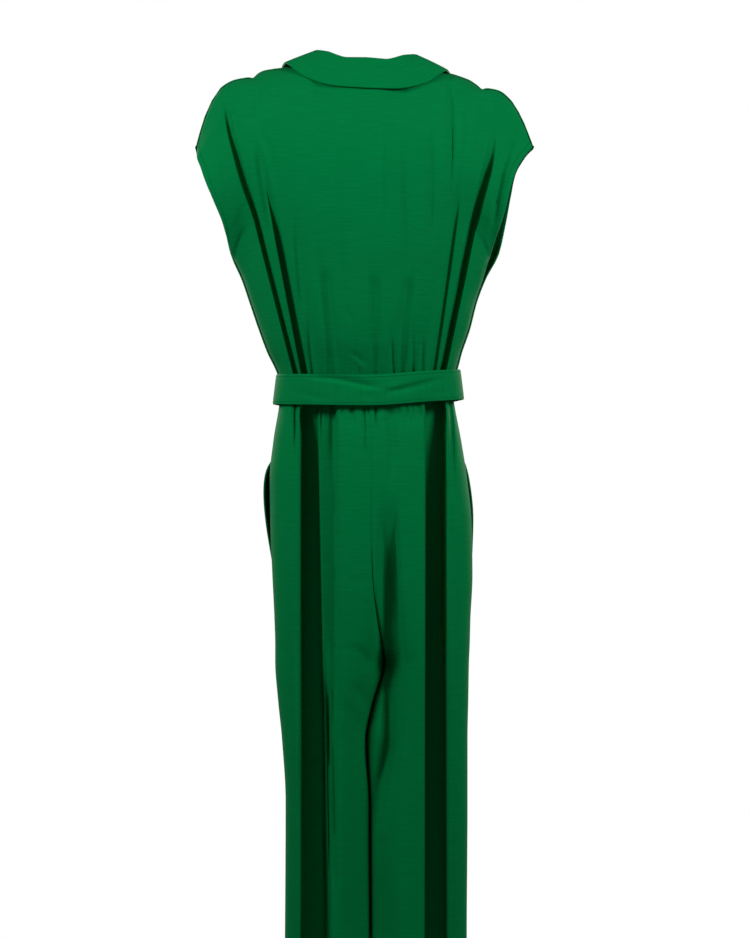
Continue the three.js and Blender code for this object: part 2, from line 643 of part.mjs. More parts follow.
// A section of the collar from its seam up to the roll of its fold and down to its free edge.
function collarSection(at) {
  const s = Math.abs(at);
  const side = Math.sign(at) || 1;
  const lap = side < 0 ? LAP * smooth((s - 0.5) / 0.3) : 0;
  const place = (name) => {
    const x = side * collar[`${name}X`](s);
    const z = collar[`${name}Z`](s) + COLLAR_TILT * Math.min(0, x);
    return new THREE.Vector3(x, collar[`${name}Y`](s) - lap, z);
  };
  const [seam, fold, edge] = [necklinePoint(at), place("fold"), place("edge")];
  const up = fold.clone().sub(seam.clone().lerp(edge, 0.5)).normalize();
  const out = edge.clone().sub(seam);
  out.addScaledVector(up, -out.dot(up)).normalize();
  const centre = fold.clone().addScaledVector(up, -COLLAR_ROLL);
  const roll = [180, 135, 90, 45, 0].map((turn) =>
    centre.clone()
      .addScaledVector(out, COLLAR_ROLL * Math.cos(turn * DEG))
      .addScaledVector(up, COLLAR_ROLL * Math.sin(turn * DEG)),
  );
  const stand = [0, 0.5].map((t) => seam.clone().lerp(roll[0], t));
  const fall = [0.34, 0.67, 1].map((t) => roll[4].clone().lerp(edge, t));
  return [...stand, ...roll, ...fall];
}

function collarPiece() {
  const stations = Array.from({ length: COLLAR_STATIONS + 1 }, (_, i) => (2 * i) / COLLAR_STATIONS - 1);
  const sections = stations.map(collarSection);
  const outer = sections[0].map((_, r) => sections.map((section) => section[r]));
  const inner = innerGrid(outer, DOUBLE, 1);
  return named("collar", wallGeometry(outer, inner, 1));
}

const jumpsuit = new THREE.Group();
jumpsuit.add(
  bodiceBack(),
  bodiceFront(1, 0),
  bodiceFront(-1, LAP),
  collarPiece(),
  legPanel(1, 1),
  legPanel(1, -1),
  legPanel(-1, 1),
  legPanel(-1, -1),
  pocketBag(1),
  pocketBag(-1),
  beltBand(),
  beltKnot(),
  ...TAILS.map(beltTail),
);

export default jumpsuit;
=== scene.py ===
"""A woven jumpsuit, filled out as when it is worn, in a plain pale studio.

The tables hold millimetres, which turn to metres where a mesh is made. +Z is up, +X the wearer's left and -Y
the front.
"""

from __future__ import annotations

import logging
import math
from dataclasses import dataclass
from enum import Enum, IntEnum
from typing import Any, Callable, Iterable, Sequence

import bpy
import numpy as np
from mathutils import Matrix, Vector


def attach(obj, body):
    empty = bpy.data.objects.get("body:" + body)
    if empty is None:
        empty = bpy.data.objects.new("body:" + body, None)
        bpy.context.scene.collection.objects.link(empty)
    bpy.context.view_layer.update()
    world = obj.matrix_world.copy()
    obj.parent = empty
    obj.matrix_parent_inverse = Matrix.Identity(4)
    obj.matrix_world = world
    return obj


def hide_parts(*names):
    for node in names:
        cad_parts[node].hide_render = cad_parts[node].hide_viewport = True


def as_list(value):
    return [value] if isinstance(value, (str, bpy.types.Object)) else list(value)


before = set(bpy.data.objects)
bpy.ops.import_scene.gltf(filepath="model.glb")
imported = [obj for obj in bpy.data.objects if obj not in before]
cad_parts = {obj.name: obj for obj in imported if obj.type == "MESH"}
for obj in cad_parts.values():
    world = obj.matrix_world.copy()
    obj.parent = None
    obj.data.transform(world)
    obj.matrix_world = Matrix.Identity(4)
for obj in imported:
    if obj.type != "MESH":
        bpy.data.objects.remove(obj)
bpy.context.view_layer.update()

MM = 0.001
CLOTH = 1.5  # wall of a single layer
DOUBLE = 2.4  # wall of two layers sewn together
SEAM = 0.3  # clear gap between pieces that meet
SEWN = 0.04  # what is left of it along a sewn seam, so that no light comes through
LAP = 4.6  # how far the outer front stands out from the one below it
WAIST_Z = -420.0
HEM_Z = -1430.0
NECK_HALF = 82.0
NECK_BACK_Z = -18.0
NECK_BACK_Y = 58.0
SHOULDER_ROUND = 7  # powers that round off the shoulder, and square off the sections of body and legs
BODY_SQUARE = 0.85
LEG_SQUARE = 0.46
RIDGE = 3.0  # least width of the crest between two folds that crowd together
FOLD_MARKS = 4  # to each fold: where its flanks and its floor begin and end
EDGE_STEPS = (0.7, 1.5, 2.5, 3.8)  # columns close to an edge, where a seam turns the cloth in
EDGE_ROOM = 0.6  # least room between the last of them and the next column
SAMPLES = 1601  # along a section, where shares are looked up in it
FINE_BODICE = 4  # columns to each one of the plain form
FINE_LEG = 5
HEM_STEPS = (12.0, 8.0, 4.0, 1.5, 0.0)  # heights of the last rows above the hem
HEM_STITCH = 25.0  # how far above the hem its row of stitches runs
ARMHOLE_STITCH = 9.0  # how far in from the armhole its row runs
ARMHOLE_Z = -250.0  # the height where that row ends
GROOVE_WIDE = 1.3  # half the width of the groove that stitches draw
SHARP_ANGLE = 58  # degrees above which an edge stays sharp
GLEAM = 0.2  # the weak gleam of dyed fibres, in their own green
GLEAM_TINT = "18a060"

log = logging.getLogger("jumpsuit")


class Face(IntEnum):
    """Which half of the garment a panel is in."""

    BACK = 1
    FRONT = -1


class Side(IntEnum):
    """The wearer's side."""

    LEFT = 1
    RIGHT = -1


class Grain(Enum):
    """Which way the slubs of the weft run on a piece, by its cut."""

    ACROSS = "across"
    ALONG = "along"


def smooth(t: Any) -> Any:
    """Rises from 0 at 0 to 1 at 1 with level ends."""
    t = np.clip(t, 0, 1)
    return t * t * (3 - 2 * t)


def mix(a: Any, b: Any, t: Any) -> Any:
    """Goes from a at t 0 to b at t 1."""
    return a + (b - a) * t


class Curve:
    """A smooth line through a table's points, with no overshoot between them."""

    def __init__(self, at: Sequence[float], value: Sequence[float]) -> None:
        """Works out the slopes.

        Args:
            at: the key of each point, rising.
            value: the value there.
        """
        self.at = np.asarray(at, float)
        self.value = np.asarray(value, float)
        rise = np.diff(self.value) / np.diff(self.at)
        before = np.concatenate(([rise[0]], rise))
        after = np.concatenate((rise, [rise[-1]]))
        total = before + after
        harmonic = 2 * before * after / np.where(total == 0, 1, total)
        self.slope = np.where(before * after > 0, harmonic, 0)

    def __call__(self, at: Any) -> Any:
        """The value at a key or an array of keys."""
        at = np.clip(at, self.at[0], self.at[-1])
        i = np.clip(np.searchsorted(self.at, at, side="right") - 1, 0, len(self.at) - 2)
        run = self.at[i + 1] - self.at[i]
        t = (at - self.at[i]) / run
        ends = (1 + 2 * t) * (1 - t) ** 2 * self.value[i] + t * t * (3 - 2 * t) * self.value[i + 1]
        return ends + run * t * (1 - t) * ((1 - t) * self.slope[i] - t * self.slope[i + 1])


class Table:
    """Named columns over a key, each as a smooth curve."""

    def __init__(self, columns: str, *rows: Sequence[float]) -> None:
        """Keeps the rows.

        Args:
            columns: the columns' names, the key first.
            rows: one row of numbers for each key.
        """
        names = columns.split()
        values = np.array(rows, float)
        self.curves = {name: Curve(values[:, 0], values[:, i]) for i, name in enumerate(names[1:], 1)}

    def __getitem__(self, name: str) -> Curve:
        """The curve of one column."""
        return self.curves[name]


@dataclass(frozen=True)
class Fold:
    """A deep trough down a panel. half is half its floor, right and left the runs of its flanks."""

    x: float
    to_x: float
    half: float
    right: float
    left: float
    depth: float
    head: float = 1.0
    spread: float = 0.0
    face: Face = Face.BACK
    onset: float = 5.0  # the fold reaches its full depth over one part in so many of its length

    def middle(self, down: Any) -> Any:
        """Where its middle lies across, at a share of its way down."""
        return mix(self.x, self.to_x, np.clip(down, 0, 1))

    def floor(self, down: Any) -> Any:
        """Half the width of its floor."""
        return self.half + self.spread * np.clip(down, 0, 1)

    def marks(self, down: float) -> list[float]:
        """Where its flanks and its floor begin and end across."""
        middle = float(self.middle(down))
        half = float(self.floor(down))
        return [middle - half - self.right, middle - half, middle + half, middle + half + self.left]


@dataclass(frozen=True)
class Crease:
    """A soft trough along a path of (x, z), or a ridge where depth is below 0.

    left and right are its widths on the two sides of a path that runs down, beyond half of its floor's width.
    It comes up over rise and dies out over fall, as shares of its length.
    """

    path: tuple[tuple[float, float], ...]
    depth: float
    left: float
    right: float
    rise: float = 0.35
    fall: float = 0.35
    floor: float = 0.0

    def depth_at(self, x: np.ndarray, z: np.ndarray) -> np.ndarray:
        """How far it presses points in.

        Args:
            x: where the points lie across.
            z: their heights.

        Returns:
            The depth at each point.
        """
        points = np.array(self.path, float)
        steps = np.diff(points, axis=0)
        lengths = np.hypot(steps[:, 0], steps[:, 1])
        total = lengths.sum()
        nearest = np.full(x.shape, np.inf)
        along = np.zeros(x.shape)
        turn = np.zeros(x.shape)
        walked = 0.0
        for (ax, az), (sx, sz), length in zip(points, steps, lengths):
            t = np.clip(((x - ax) * sx + (z - az) * sz) / length**2, 0, 1)
            dx = x - ax - t * sx
            dz = z - az - t * sz
            away = np.hypot(dx, dz)
            near = away < nearest
            nearest = np.where(near, away, nearest)
            along = np.where(near, (walked + t * length) / total, along)
            turn = np.where(near, sx * dz - sz * dx, turn)
            walked += length
        width = np.where(turn > 0, self.left, self.right)
        fade = smooth(along / self.rise) * smooth((1 - along) / self.fall)
        return self.depth * np.exp(-((np.maximum(nearest - self.floor, 0) / width) ** 2)) * fade


def creased(creases: Iterable[Crease], x: np.ndarray, z: np.ndarray) -> np.ndarray:
    """How far a set of creases presses points in, together."""
    return sum((crease.depth_at(x, z) for crease in creases), np.zeros(np.shape(x)))


def joint_depth(fold: np.ndarray, soft: np.ndarray) -> np.ndarray:
    """The depth of deep folds and soft creases together, where a crease fades inside a deeper fold."""
    return np.cbrt(fold**3 + np.maximum(soft, 0) ** 3) + np.minimum(soft, 0)


def pressed(folds: Iterable[Fold], x: np.ndarray, down_of: Callable[[Fold], float]) -> np.ndarray:
    """How far a set of folds presses points in, where the deepest one counts.

    Args:
        folds: the folds.
        x: where the points lie across.
        down_of: gives a fold's share of its way down.

    Returns:
        The depth at each point.
    """
    depth = np.zeros(np.shape(x))
    for fold in folds:
        down = np.clip(down_of(fold), 0, 1)
        away = x - fold.middle(down)
        run = np.where(away < 0, fold.right, fold.left)
        side = smooth(1 - (np.abs(away) - fold.floor(down)) / run)
        depth = np.maximum(depth, fold.depth * side * smooth(down * fold.onset))
    return depth


def gathers(
    count: int, span: tuple[float, float], seed: int, top: float, foot: float, depth: float
) -> list[Crease]:
    """Small uneven pleats where cloth is drawn up into a seam.

    Args:
        count: how many.
        span: from where to where across.
        seed: fixes their unevenness.
        top: the height of the seam that they start from.
        foot: the height that the longest one reaches.
        depth: of the deepest one.

    Returns:
        The pleats as creases.
    """
    chance = np.random.default_rng(seed)
    pitch = (span[1] - span[0]) / count
    made = []
    for i in range(count):
        x = span[0] + pitch * (i + 0.5 + chance.uniform(-0.35, 0.35))
        reach = (foot - top) * chance.uniform(0.35, 1.0)
        lean = chance.uniform(-0.07, 0.07) * abs(reach)
        width = chance.uniform(1.5, 2.8)
        path = ((x, top - 0.25 * reach), (x + lean, top + reach))
        made.append(Crease(path, depth * chance.uniform(0.35, 1.0), width, width, 0.15, 0.75))
    return made


def column_shares(
    section: Callable[[np.ndarray], np.ndarray],
    across: Callable[[np.ndarray], np.ndarray],
    marks: Sequence[float],
    ends: tuple[float, float],
    counts: Sequence[int],
) -> np.ndarray:
    """The shares of a section's columns, so that every fold keeps the same columns from its top to its foot.

    Args:
        section: gives the section's points at an array of shares.
        across: gives where they lie across.
        marks: where the folds' flanks and floors begin and end across, rising.
        ends: the first and the last share.
        counts: how many columns go to each stretch between the marks.

    Returns:
        The shares, from one end to the other.
    """
    samples = np.linspace(ends[0], ends[1], SAMPLES)
    x = across(samples)
    stops = np.array(marks, float)
    for i in range(FOLD_MARKS, len(stops), FOLD_MARKS):
        if stops[i - 1] > stops[i] - RIDGE:
            between = (stops[i - 1] + stops[i]) / 2
            crest = min(stops[i + 1] - RIDGE, max(stops[i - 2] + RIDGE, between))
            stops[i - 1], stops[i] = crest - RIDGE / 2, crest + RIDGE / 2
    points = section(samples)
    walk = np.concatenate(([0], np.cumsum(np.linalg.norm(np.diff(points, axis=0), axis=1))))
    rising = x[-1] > x[0]
    order = slice(None) if rising else slice(None, None, -1)
    reached = np.interp(stops, x[order], walk[order])
    reached = np.concatenate(([0], reached if rising else reached[::-1], [walk[-1]]))
    goals = [0.0]
    for i, count in enumerate(counts):
        goals.extend(np.linspace(reached[i], reached[i + 1], count + 1)[1:])
    goals = np.array(goals)
    room = EDGE_STEPS[-1] + EDGE_ROOM
    inside = goals[(goals > room) & (goals < walk[-1] - room)]
    missing = len(goals) - len(inside)
    near = np.array([0.0, *EDGE_STEPS])
    spare = missing - 2 * len(near)
    if spare < 0:
        inside = np.interp(np.linspace(0, 1, len(inside) + spare), np.linspace(0, 1, len(inside)), inside)
    elif spare > 0:
        first = np.linspace(EDGE_STEPS[-1], inside[0], spare + 2)[1:-1]
        inside = np.concatenate((first, inside))
    goals = np.concatenate((near, inside, walk[-1] - near[::-1]))
    return np.interp(goals, walk, samples)


def grid_normals(grid: np.ndarray, facing: int, closed: bool = False) -> np.ndarray:
    """Unit normals of a grid of points, turned to the side given by facing."""
    if closed:
        across = np.roll(grid, -1, axis=1) - np.roll(grid, 1, axis=1)
    else:
        across = np.gradient(grid, axis=1)
    normal = np.cross(across, np.gradient(grid, axis=0))
    return facing * normal / np.maximum(np.linalg.norm(normal, axis=2, keepdims=True), 1e-9)


def arc_map(grid: np.ndarray, level: bool = False) -> np.ndarray:
    """The flat cut's coordinates of a grid's points: how far each lies across and up its panel, in mm.

    Args:
        grid: the points.
        level: whether the weft runs level, though the rows slant.

    Returns:
        Two coordinates for each point.
    """
    steps = np.linalg.norm(np.diff(grid, axis=1), axis=2)
    across = np.concatenate((np.zeros((len(grid), 1)), np.cumsum(steps, axis=1)), axis=1)
    across -= across[:, -1:] / 2
    rises = np.linalg.norm(np.diff(grid, axis=0), axis=2).mean(axis=1)
    up = np.broadcast_to(np.concatenate(([0], np.cumsum(rises)))[:, None], across.shape)
    if level:
        up = up + grid[..., 2] - grid[..., 2].mean(axis=1, keepdims=True)
    return np.stack((across, up), axis=2)


def tucked(grid: np.ndarray, facing: int, edges: str, depth: float = 1.1, run: float = 1.7) -> np.ndarray:
    """The grid with its edges turned in a little, as cloth does at a seam.

    Args:
        grid: the outer face.
        facing: which way it faces.
        edges: any of first, last, bottom and top, as words: the edges that are sewn.
        depth: how far the edge goes in.
        run: over what width.

    Returns:
        The new grid.
    """
    flat = arc_map(grid)
    across = flat[..., 0] - flat[:, :1, 0]
    up = flat[..., 1]
    away = {"first": across, "last": across[:, -1:] - across, "bottom": up, "top": up[-1:] - up}
    press = sum(np.exp(-((away[edge] / run) ** 2)) for edge in edges.split())
    return grid - grid_normals(grid, facing) * (depth * np.minimum(press, 1))[..., None]


def grooved(grid: np.ndarray, facing: int, away: np.ndarray, at: float, depth: float = 0.5) -> np.ndarray:
    """The grid with the shallow groove that a row of stitches draws, where away reaches at."""
    press = depth * np.exp(-(((away - at) / GROOVE_WIDE) ** 2))
    return grid - grid_normals(grid, facing) * press[..., None]


def wall_faces(rows: int, columns: int, facing: int, closed: bool) -> np.ndarray:
    """The faces of a closed wall between two grids of the same size, with a rim all round.

    Args:
        rows: the grids' rows.
        columns: their columns.
        facing: 1 or -1, the side that the outer grid faces.
        closed: whether the columns go all the way round.

    Returns:
        Four point numbers for each face.
    """
    layer = rows * columns
    number = np.arange(layer).reshape(rows, columns)
    beside = np.roll(number, -1, axis=1)
    spans = columns if closed else columns - 1
    a, b = number[:-1, :spans], beside[:-1, :spans]
    d, c = number[1:, :spans], beside[1:, :spans]
    outer = np.stack((a, b, c, d), axis=-1).reshape(-1, 4)
    rims = [outer, layer + outer[:, ::-1]]
    low, low_next = number[0, :spans], beside[0, :spans]
    high, high_next = number[-1, :spans], beside[-1, :spans]
    rims.append(np.stack((low, layer + low, layer + low_next, low_next), axis=-1))
    rims.append(np.stack((high, high_next, layer + high_next, layer + high), axis=-1))
    if not closed:
        first, first_up = number[:-1, 0], number[1:, 0]
        last, last_up = number[:-1, -1], number[1:, -1]
        rims.append(np.stack((first, first_up, layer + first_up, layer + first), axis=-1))
        rims.append(np.stack((last, layer + last, layer + last_up, last_up), axis=-1))
    faces = np.concatenate(rims)
    return faces if facing > 0 else faces[:, ::-1]


def make_piece(
    name: str, points: np.ndarray, faces: Sequence, flat: np.ndarray | None = None
) -> bpy.types.Object:
    """A mesh object at the origin.

    Args:
        name: the piece's name.
        points: its points in millimetres.
        faces: point numbers for each face.
        flat: the flat cut's coordinates of each point in millimetres, kept as the UV map Cut in metres.

    Returns:
        The object, linked to the scene.
    """
    mesh = bpy.data.meshes.new(name)
    mesh.from_pydata((points * MM).tolist(), [], [list(map(int, face)) for face in faces])
    mesh.validate()
    if flat is not None:
        corner = np.empty(len(mesh.loops), np.int32)
        mesh.loops.foreach_get("vertex_index", corner)
        layer = mesh.uv_layers.new(name="Cut")
        layer.uv.foreach_set("vector", (flat[corner] * MM).astype(np.float32).ravel())
    mesh.shade_smooth()
    mesh.set_sharp_from_angle(angle=math.radians(SHARP_ANGLE))
    piece = bpy.data.objects.new(name, mesh)
    bpy.context.scene.collection.objects.link(piece)
    return piece


def make_wall(
    name: str,
    outer: np.ndarray,
    thickness: float,
    facing: int,
    closed: bool = False,
    settle: Callable[[np.ndarray], np.ndarray] | None = None,
    level: bool = False,
) -> bpy.types.Object:
    """A thin shell of cloth on a grid of points.

    Args:
        name: the piece's name.
        outer: the grid of its outer face, in rows.
        thickness: of the cloth.
        facing: 1 or -1, the side that the grid faces.
        closed: whether the columns go all the way round.
        settle: changes a face's grid last, as to level a hem.
        level: whether the weft runs level, though the rows slant.

    Returns:
        The object.
    """
    inner = outer - thickness * grid_normals(outer, facing, closed)
    if settle:
        outer, inner = settle(outer), settle(inner)
    flat = arc_map(outer, level).reshape(-1, 2)
    points = np.concatenate((outer.reshape(-1, 3), inner.reshape(-1, 3)))
    faces = wall_faces(outer.shape[0], outer.shape[1], facing, closed)
    return make_piece(name, points, faces, np.concatenate((flat, flat)))


def srgb(code: str) -> tuple[float, float, float, float]:
    """An sRGB hex colour such as 1a2b3c as linear RGBA."""
    parts = [int(code[i : i + 2], 16) / 255 for i in (0, 2, 4)]
    linear = [c / 12.92 if c <= 0.04045 else ((c + 0.055) / 1.055) ** 2.4 for c in parts]
    return (*linear, 1.0)


def add_node(
    tree: bpy.types.NodeTree, kind: str, inputs: dict[Any, Any] | None = None, **settings: Any
) -> Any:
    """Adds a node to a tree.

    Args:
        tree: the node tree.
        kind: the node's type.
        inputs: values or output sockets by the input's name or number.
        settings: its own settings by name.

    Returns:
        The node.
    """
    node = tree.nodes.new(kind)
    for name, value in settings.items():
        setattr(node, name, value)
    for name, value in (inputs or {}).items():
        if isinstance(value, bpy.types.NodeSocket):
            tree.links.new(value, node.inputs[name])
        else:
            node.inputs[name].default_value = value
    return node


def bare_material(name: str) -> bpy.types.Material:
    """A material with an empty node tree."""
    material = bpy.data.materials.new(name)
    material.use_nodes = True
    material.node_tree.nodes.clear()
    return material


@dataclass(frozen=True)
class CrepeWeave:
    """Viscose crepe with a slubbed weft, woven and piece-dyed: soft, with faint streaks along the weft."""

    name: str
    colour: str
    deep: str
    grain: Grain = Grain.ACROSS
    slub_length: float = 34.0
    slub_height: float = 1.7  # real slubs are about 1 mm; drawn a little coarser so that they show
    thread: float = 1.2  # real threads are 0.3 mm; drawn coarser, as a faint cross hatch
    tint_span: tuple[float, float] = (0.32, 0.68)  # of the slubs' noise, from the deep colour to the full one
    roughness: float = 0.78
    sheen: float = 0.03
    relief: float = 0.18

    def material(self) -> bpy.types.Material:
        """Builds the node material on the piece's flat cut, so that the streaks follow the cloth."""
        material = bare_material(self.name)
        tree = material.node_tree
        cut = add_node(tree, "ShaderNodeUVMap", uv_map="Cut").outputs["UV"]
        turn = math.pi / 2 if self.grain is Grain.ALONG else 0.0
        turned = add_node(tree, "ShaderNodeMapping", {"Vector": cut, "Rotation": (0.0, 0.0, turn)})
        weft = (1 / (self.slub_length * MM), 1 / (self.slub_height * MM), 1.0)
        warp = (1 / (self.thread * MM), 1 / (12 * self.thread * MM), 1.0)
        noise = []
        for scale, detail, roughness in ((weft, 3.0, 0.6), (warp, 1.0, 0.5)):
            placed = add_node(tree, "ShaderNodeMapping", {"Vector": turned.outputs[0], "Scale": scale})
            inputs = {"Vector": placed.outputs[0], "Scale": 1.0, "Detail": detail, "Roughness": roughness}
            noise.append(add_node(tree, "ShaderNodeTexNoise", inputs, noise_dimensions="2D").outputs["Fac"])
        slub, threads = noise
        least, most = self.tint_span
        spread = add_node(tree, "ShaderNodeMapRange", {"Value": slub, "From Min": least, "From Max": most})
        shades = {"Factor": spread.outputs[0], 6: srgb(self.deep), 7: srgb(self.colour)}
        tint = add_node(tree, "ShaderNodeMix", shades, data_type="RGBA")
        height = add_node(tree, "ShaderNodeMath", {0: threads, 1: 0.35, 2: slub}, operation="MULTIPLY_ADD")
        relief = {"Height": height.outputs[0], "Strength": 0.7, "Distance": self.relief * MM}
        bump = add_node(tree, "ShaderNodeBump", relief)
        shader = add_node(
            tree,
            "ShaderNodeBsdfPrincipled",
            {
                "Base Color": tint.outputs[2],
                "Roughness": self.roughness,
                "Specular IOR Level": GLEAM,
                "Specular Tint": srgb(GLEAM_TINT),
                "Sheen Weight": self.sheen,
                "Sheen Roughness": 0.5,
                "Sheen Tint": srgb("109a55"),
                "Normal": bump.outputs[0],
            },
        )
        add_node(tree, "ShaderNodeOutputMaterial", {"Surface": shader.outputs[0]})
        return material


@dataclass(frozen=True)
class SewingThread:
    """Spun polyester thread, dyed to match: a little glossier than the cloth round it."""

    name: str = "spun polyester thread"
    colour: str = "006236"
    twist: float = 0.6

    def material(self) -> bpy.types.Material:
        """Builds the node material, with the thread's twist as fine slanting bands."""
        material = bare_material(self.name)
        tree = material.node_tree
        place = add_node(tree, "ShaderNodeTexCoord").outputs["Object"]
        twists = {"Vector": place, "Scale": 1 / (self.twist * MM) / 20, "Distortion": 0.4}
        bands = add_node(tree, "ShaderNodeTexWave", twists, bands_direction="DIAGONAL")
        relief = {"Height": bands.outputs["Fac"], "Strength": 0.4, "Distance": 0.05 * MM}
        bump = add_node(tree, "ShaderNodeBump", relief)
        shader = add_node(
            tree,
            "ShaderNodeBsdfPrincipled",
            {
                "Base Color": srgb(self.colour),
                "Roughness": 0.6,
                "Specular IOR Level": GLEAM,
                "Specular Tint": srgb(GLEAM_TINT),
                "Normal": bump.outputs[0],
            },
        )
        add_node(tree, "ShaderNodeOutputMaterial", {"Surface": shader.outputs[0]})
        return material


@dataclass(frozen=True)
class Cut:
    """The flat cut of a piece, in millimetres, and how much of its rectangle it fills."""

    width: float
    length: float
    fill: float = 1.0
    held: str = "hung"
    rests_on: tuple[str, ...] = ()


def dress(
    piece: bpy.types.Object, material: bpy.types.Material, node: str, cut: Cut | None
) -> bpy.types.Object:
    """Gives a piece its material and its place in the frame.

    Args:
        piece: the piece.
        material: its finish.
        node: the CAD node that it stands for.
        cut: its flat cut, or None where it goes with another sheet.

    Returns:
        The piece.
    """
    piece.data.materials.append(material)
    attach(piece, "root")
    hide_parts(node)
    if cut:
        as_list(cut.rests_on)
    log.info("%s: %d points", piece.name, len(piece.data.vertices))
    return piece


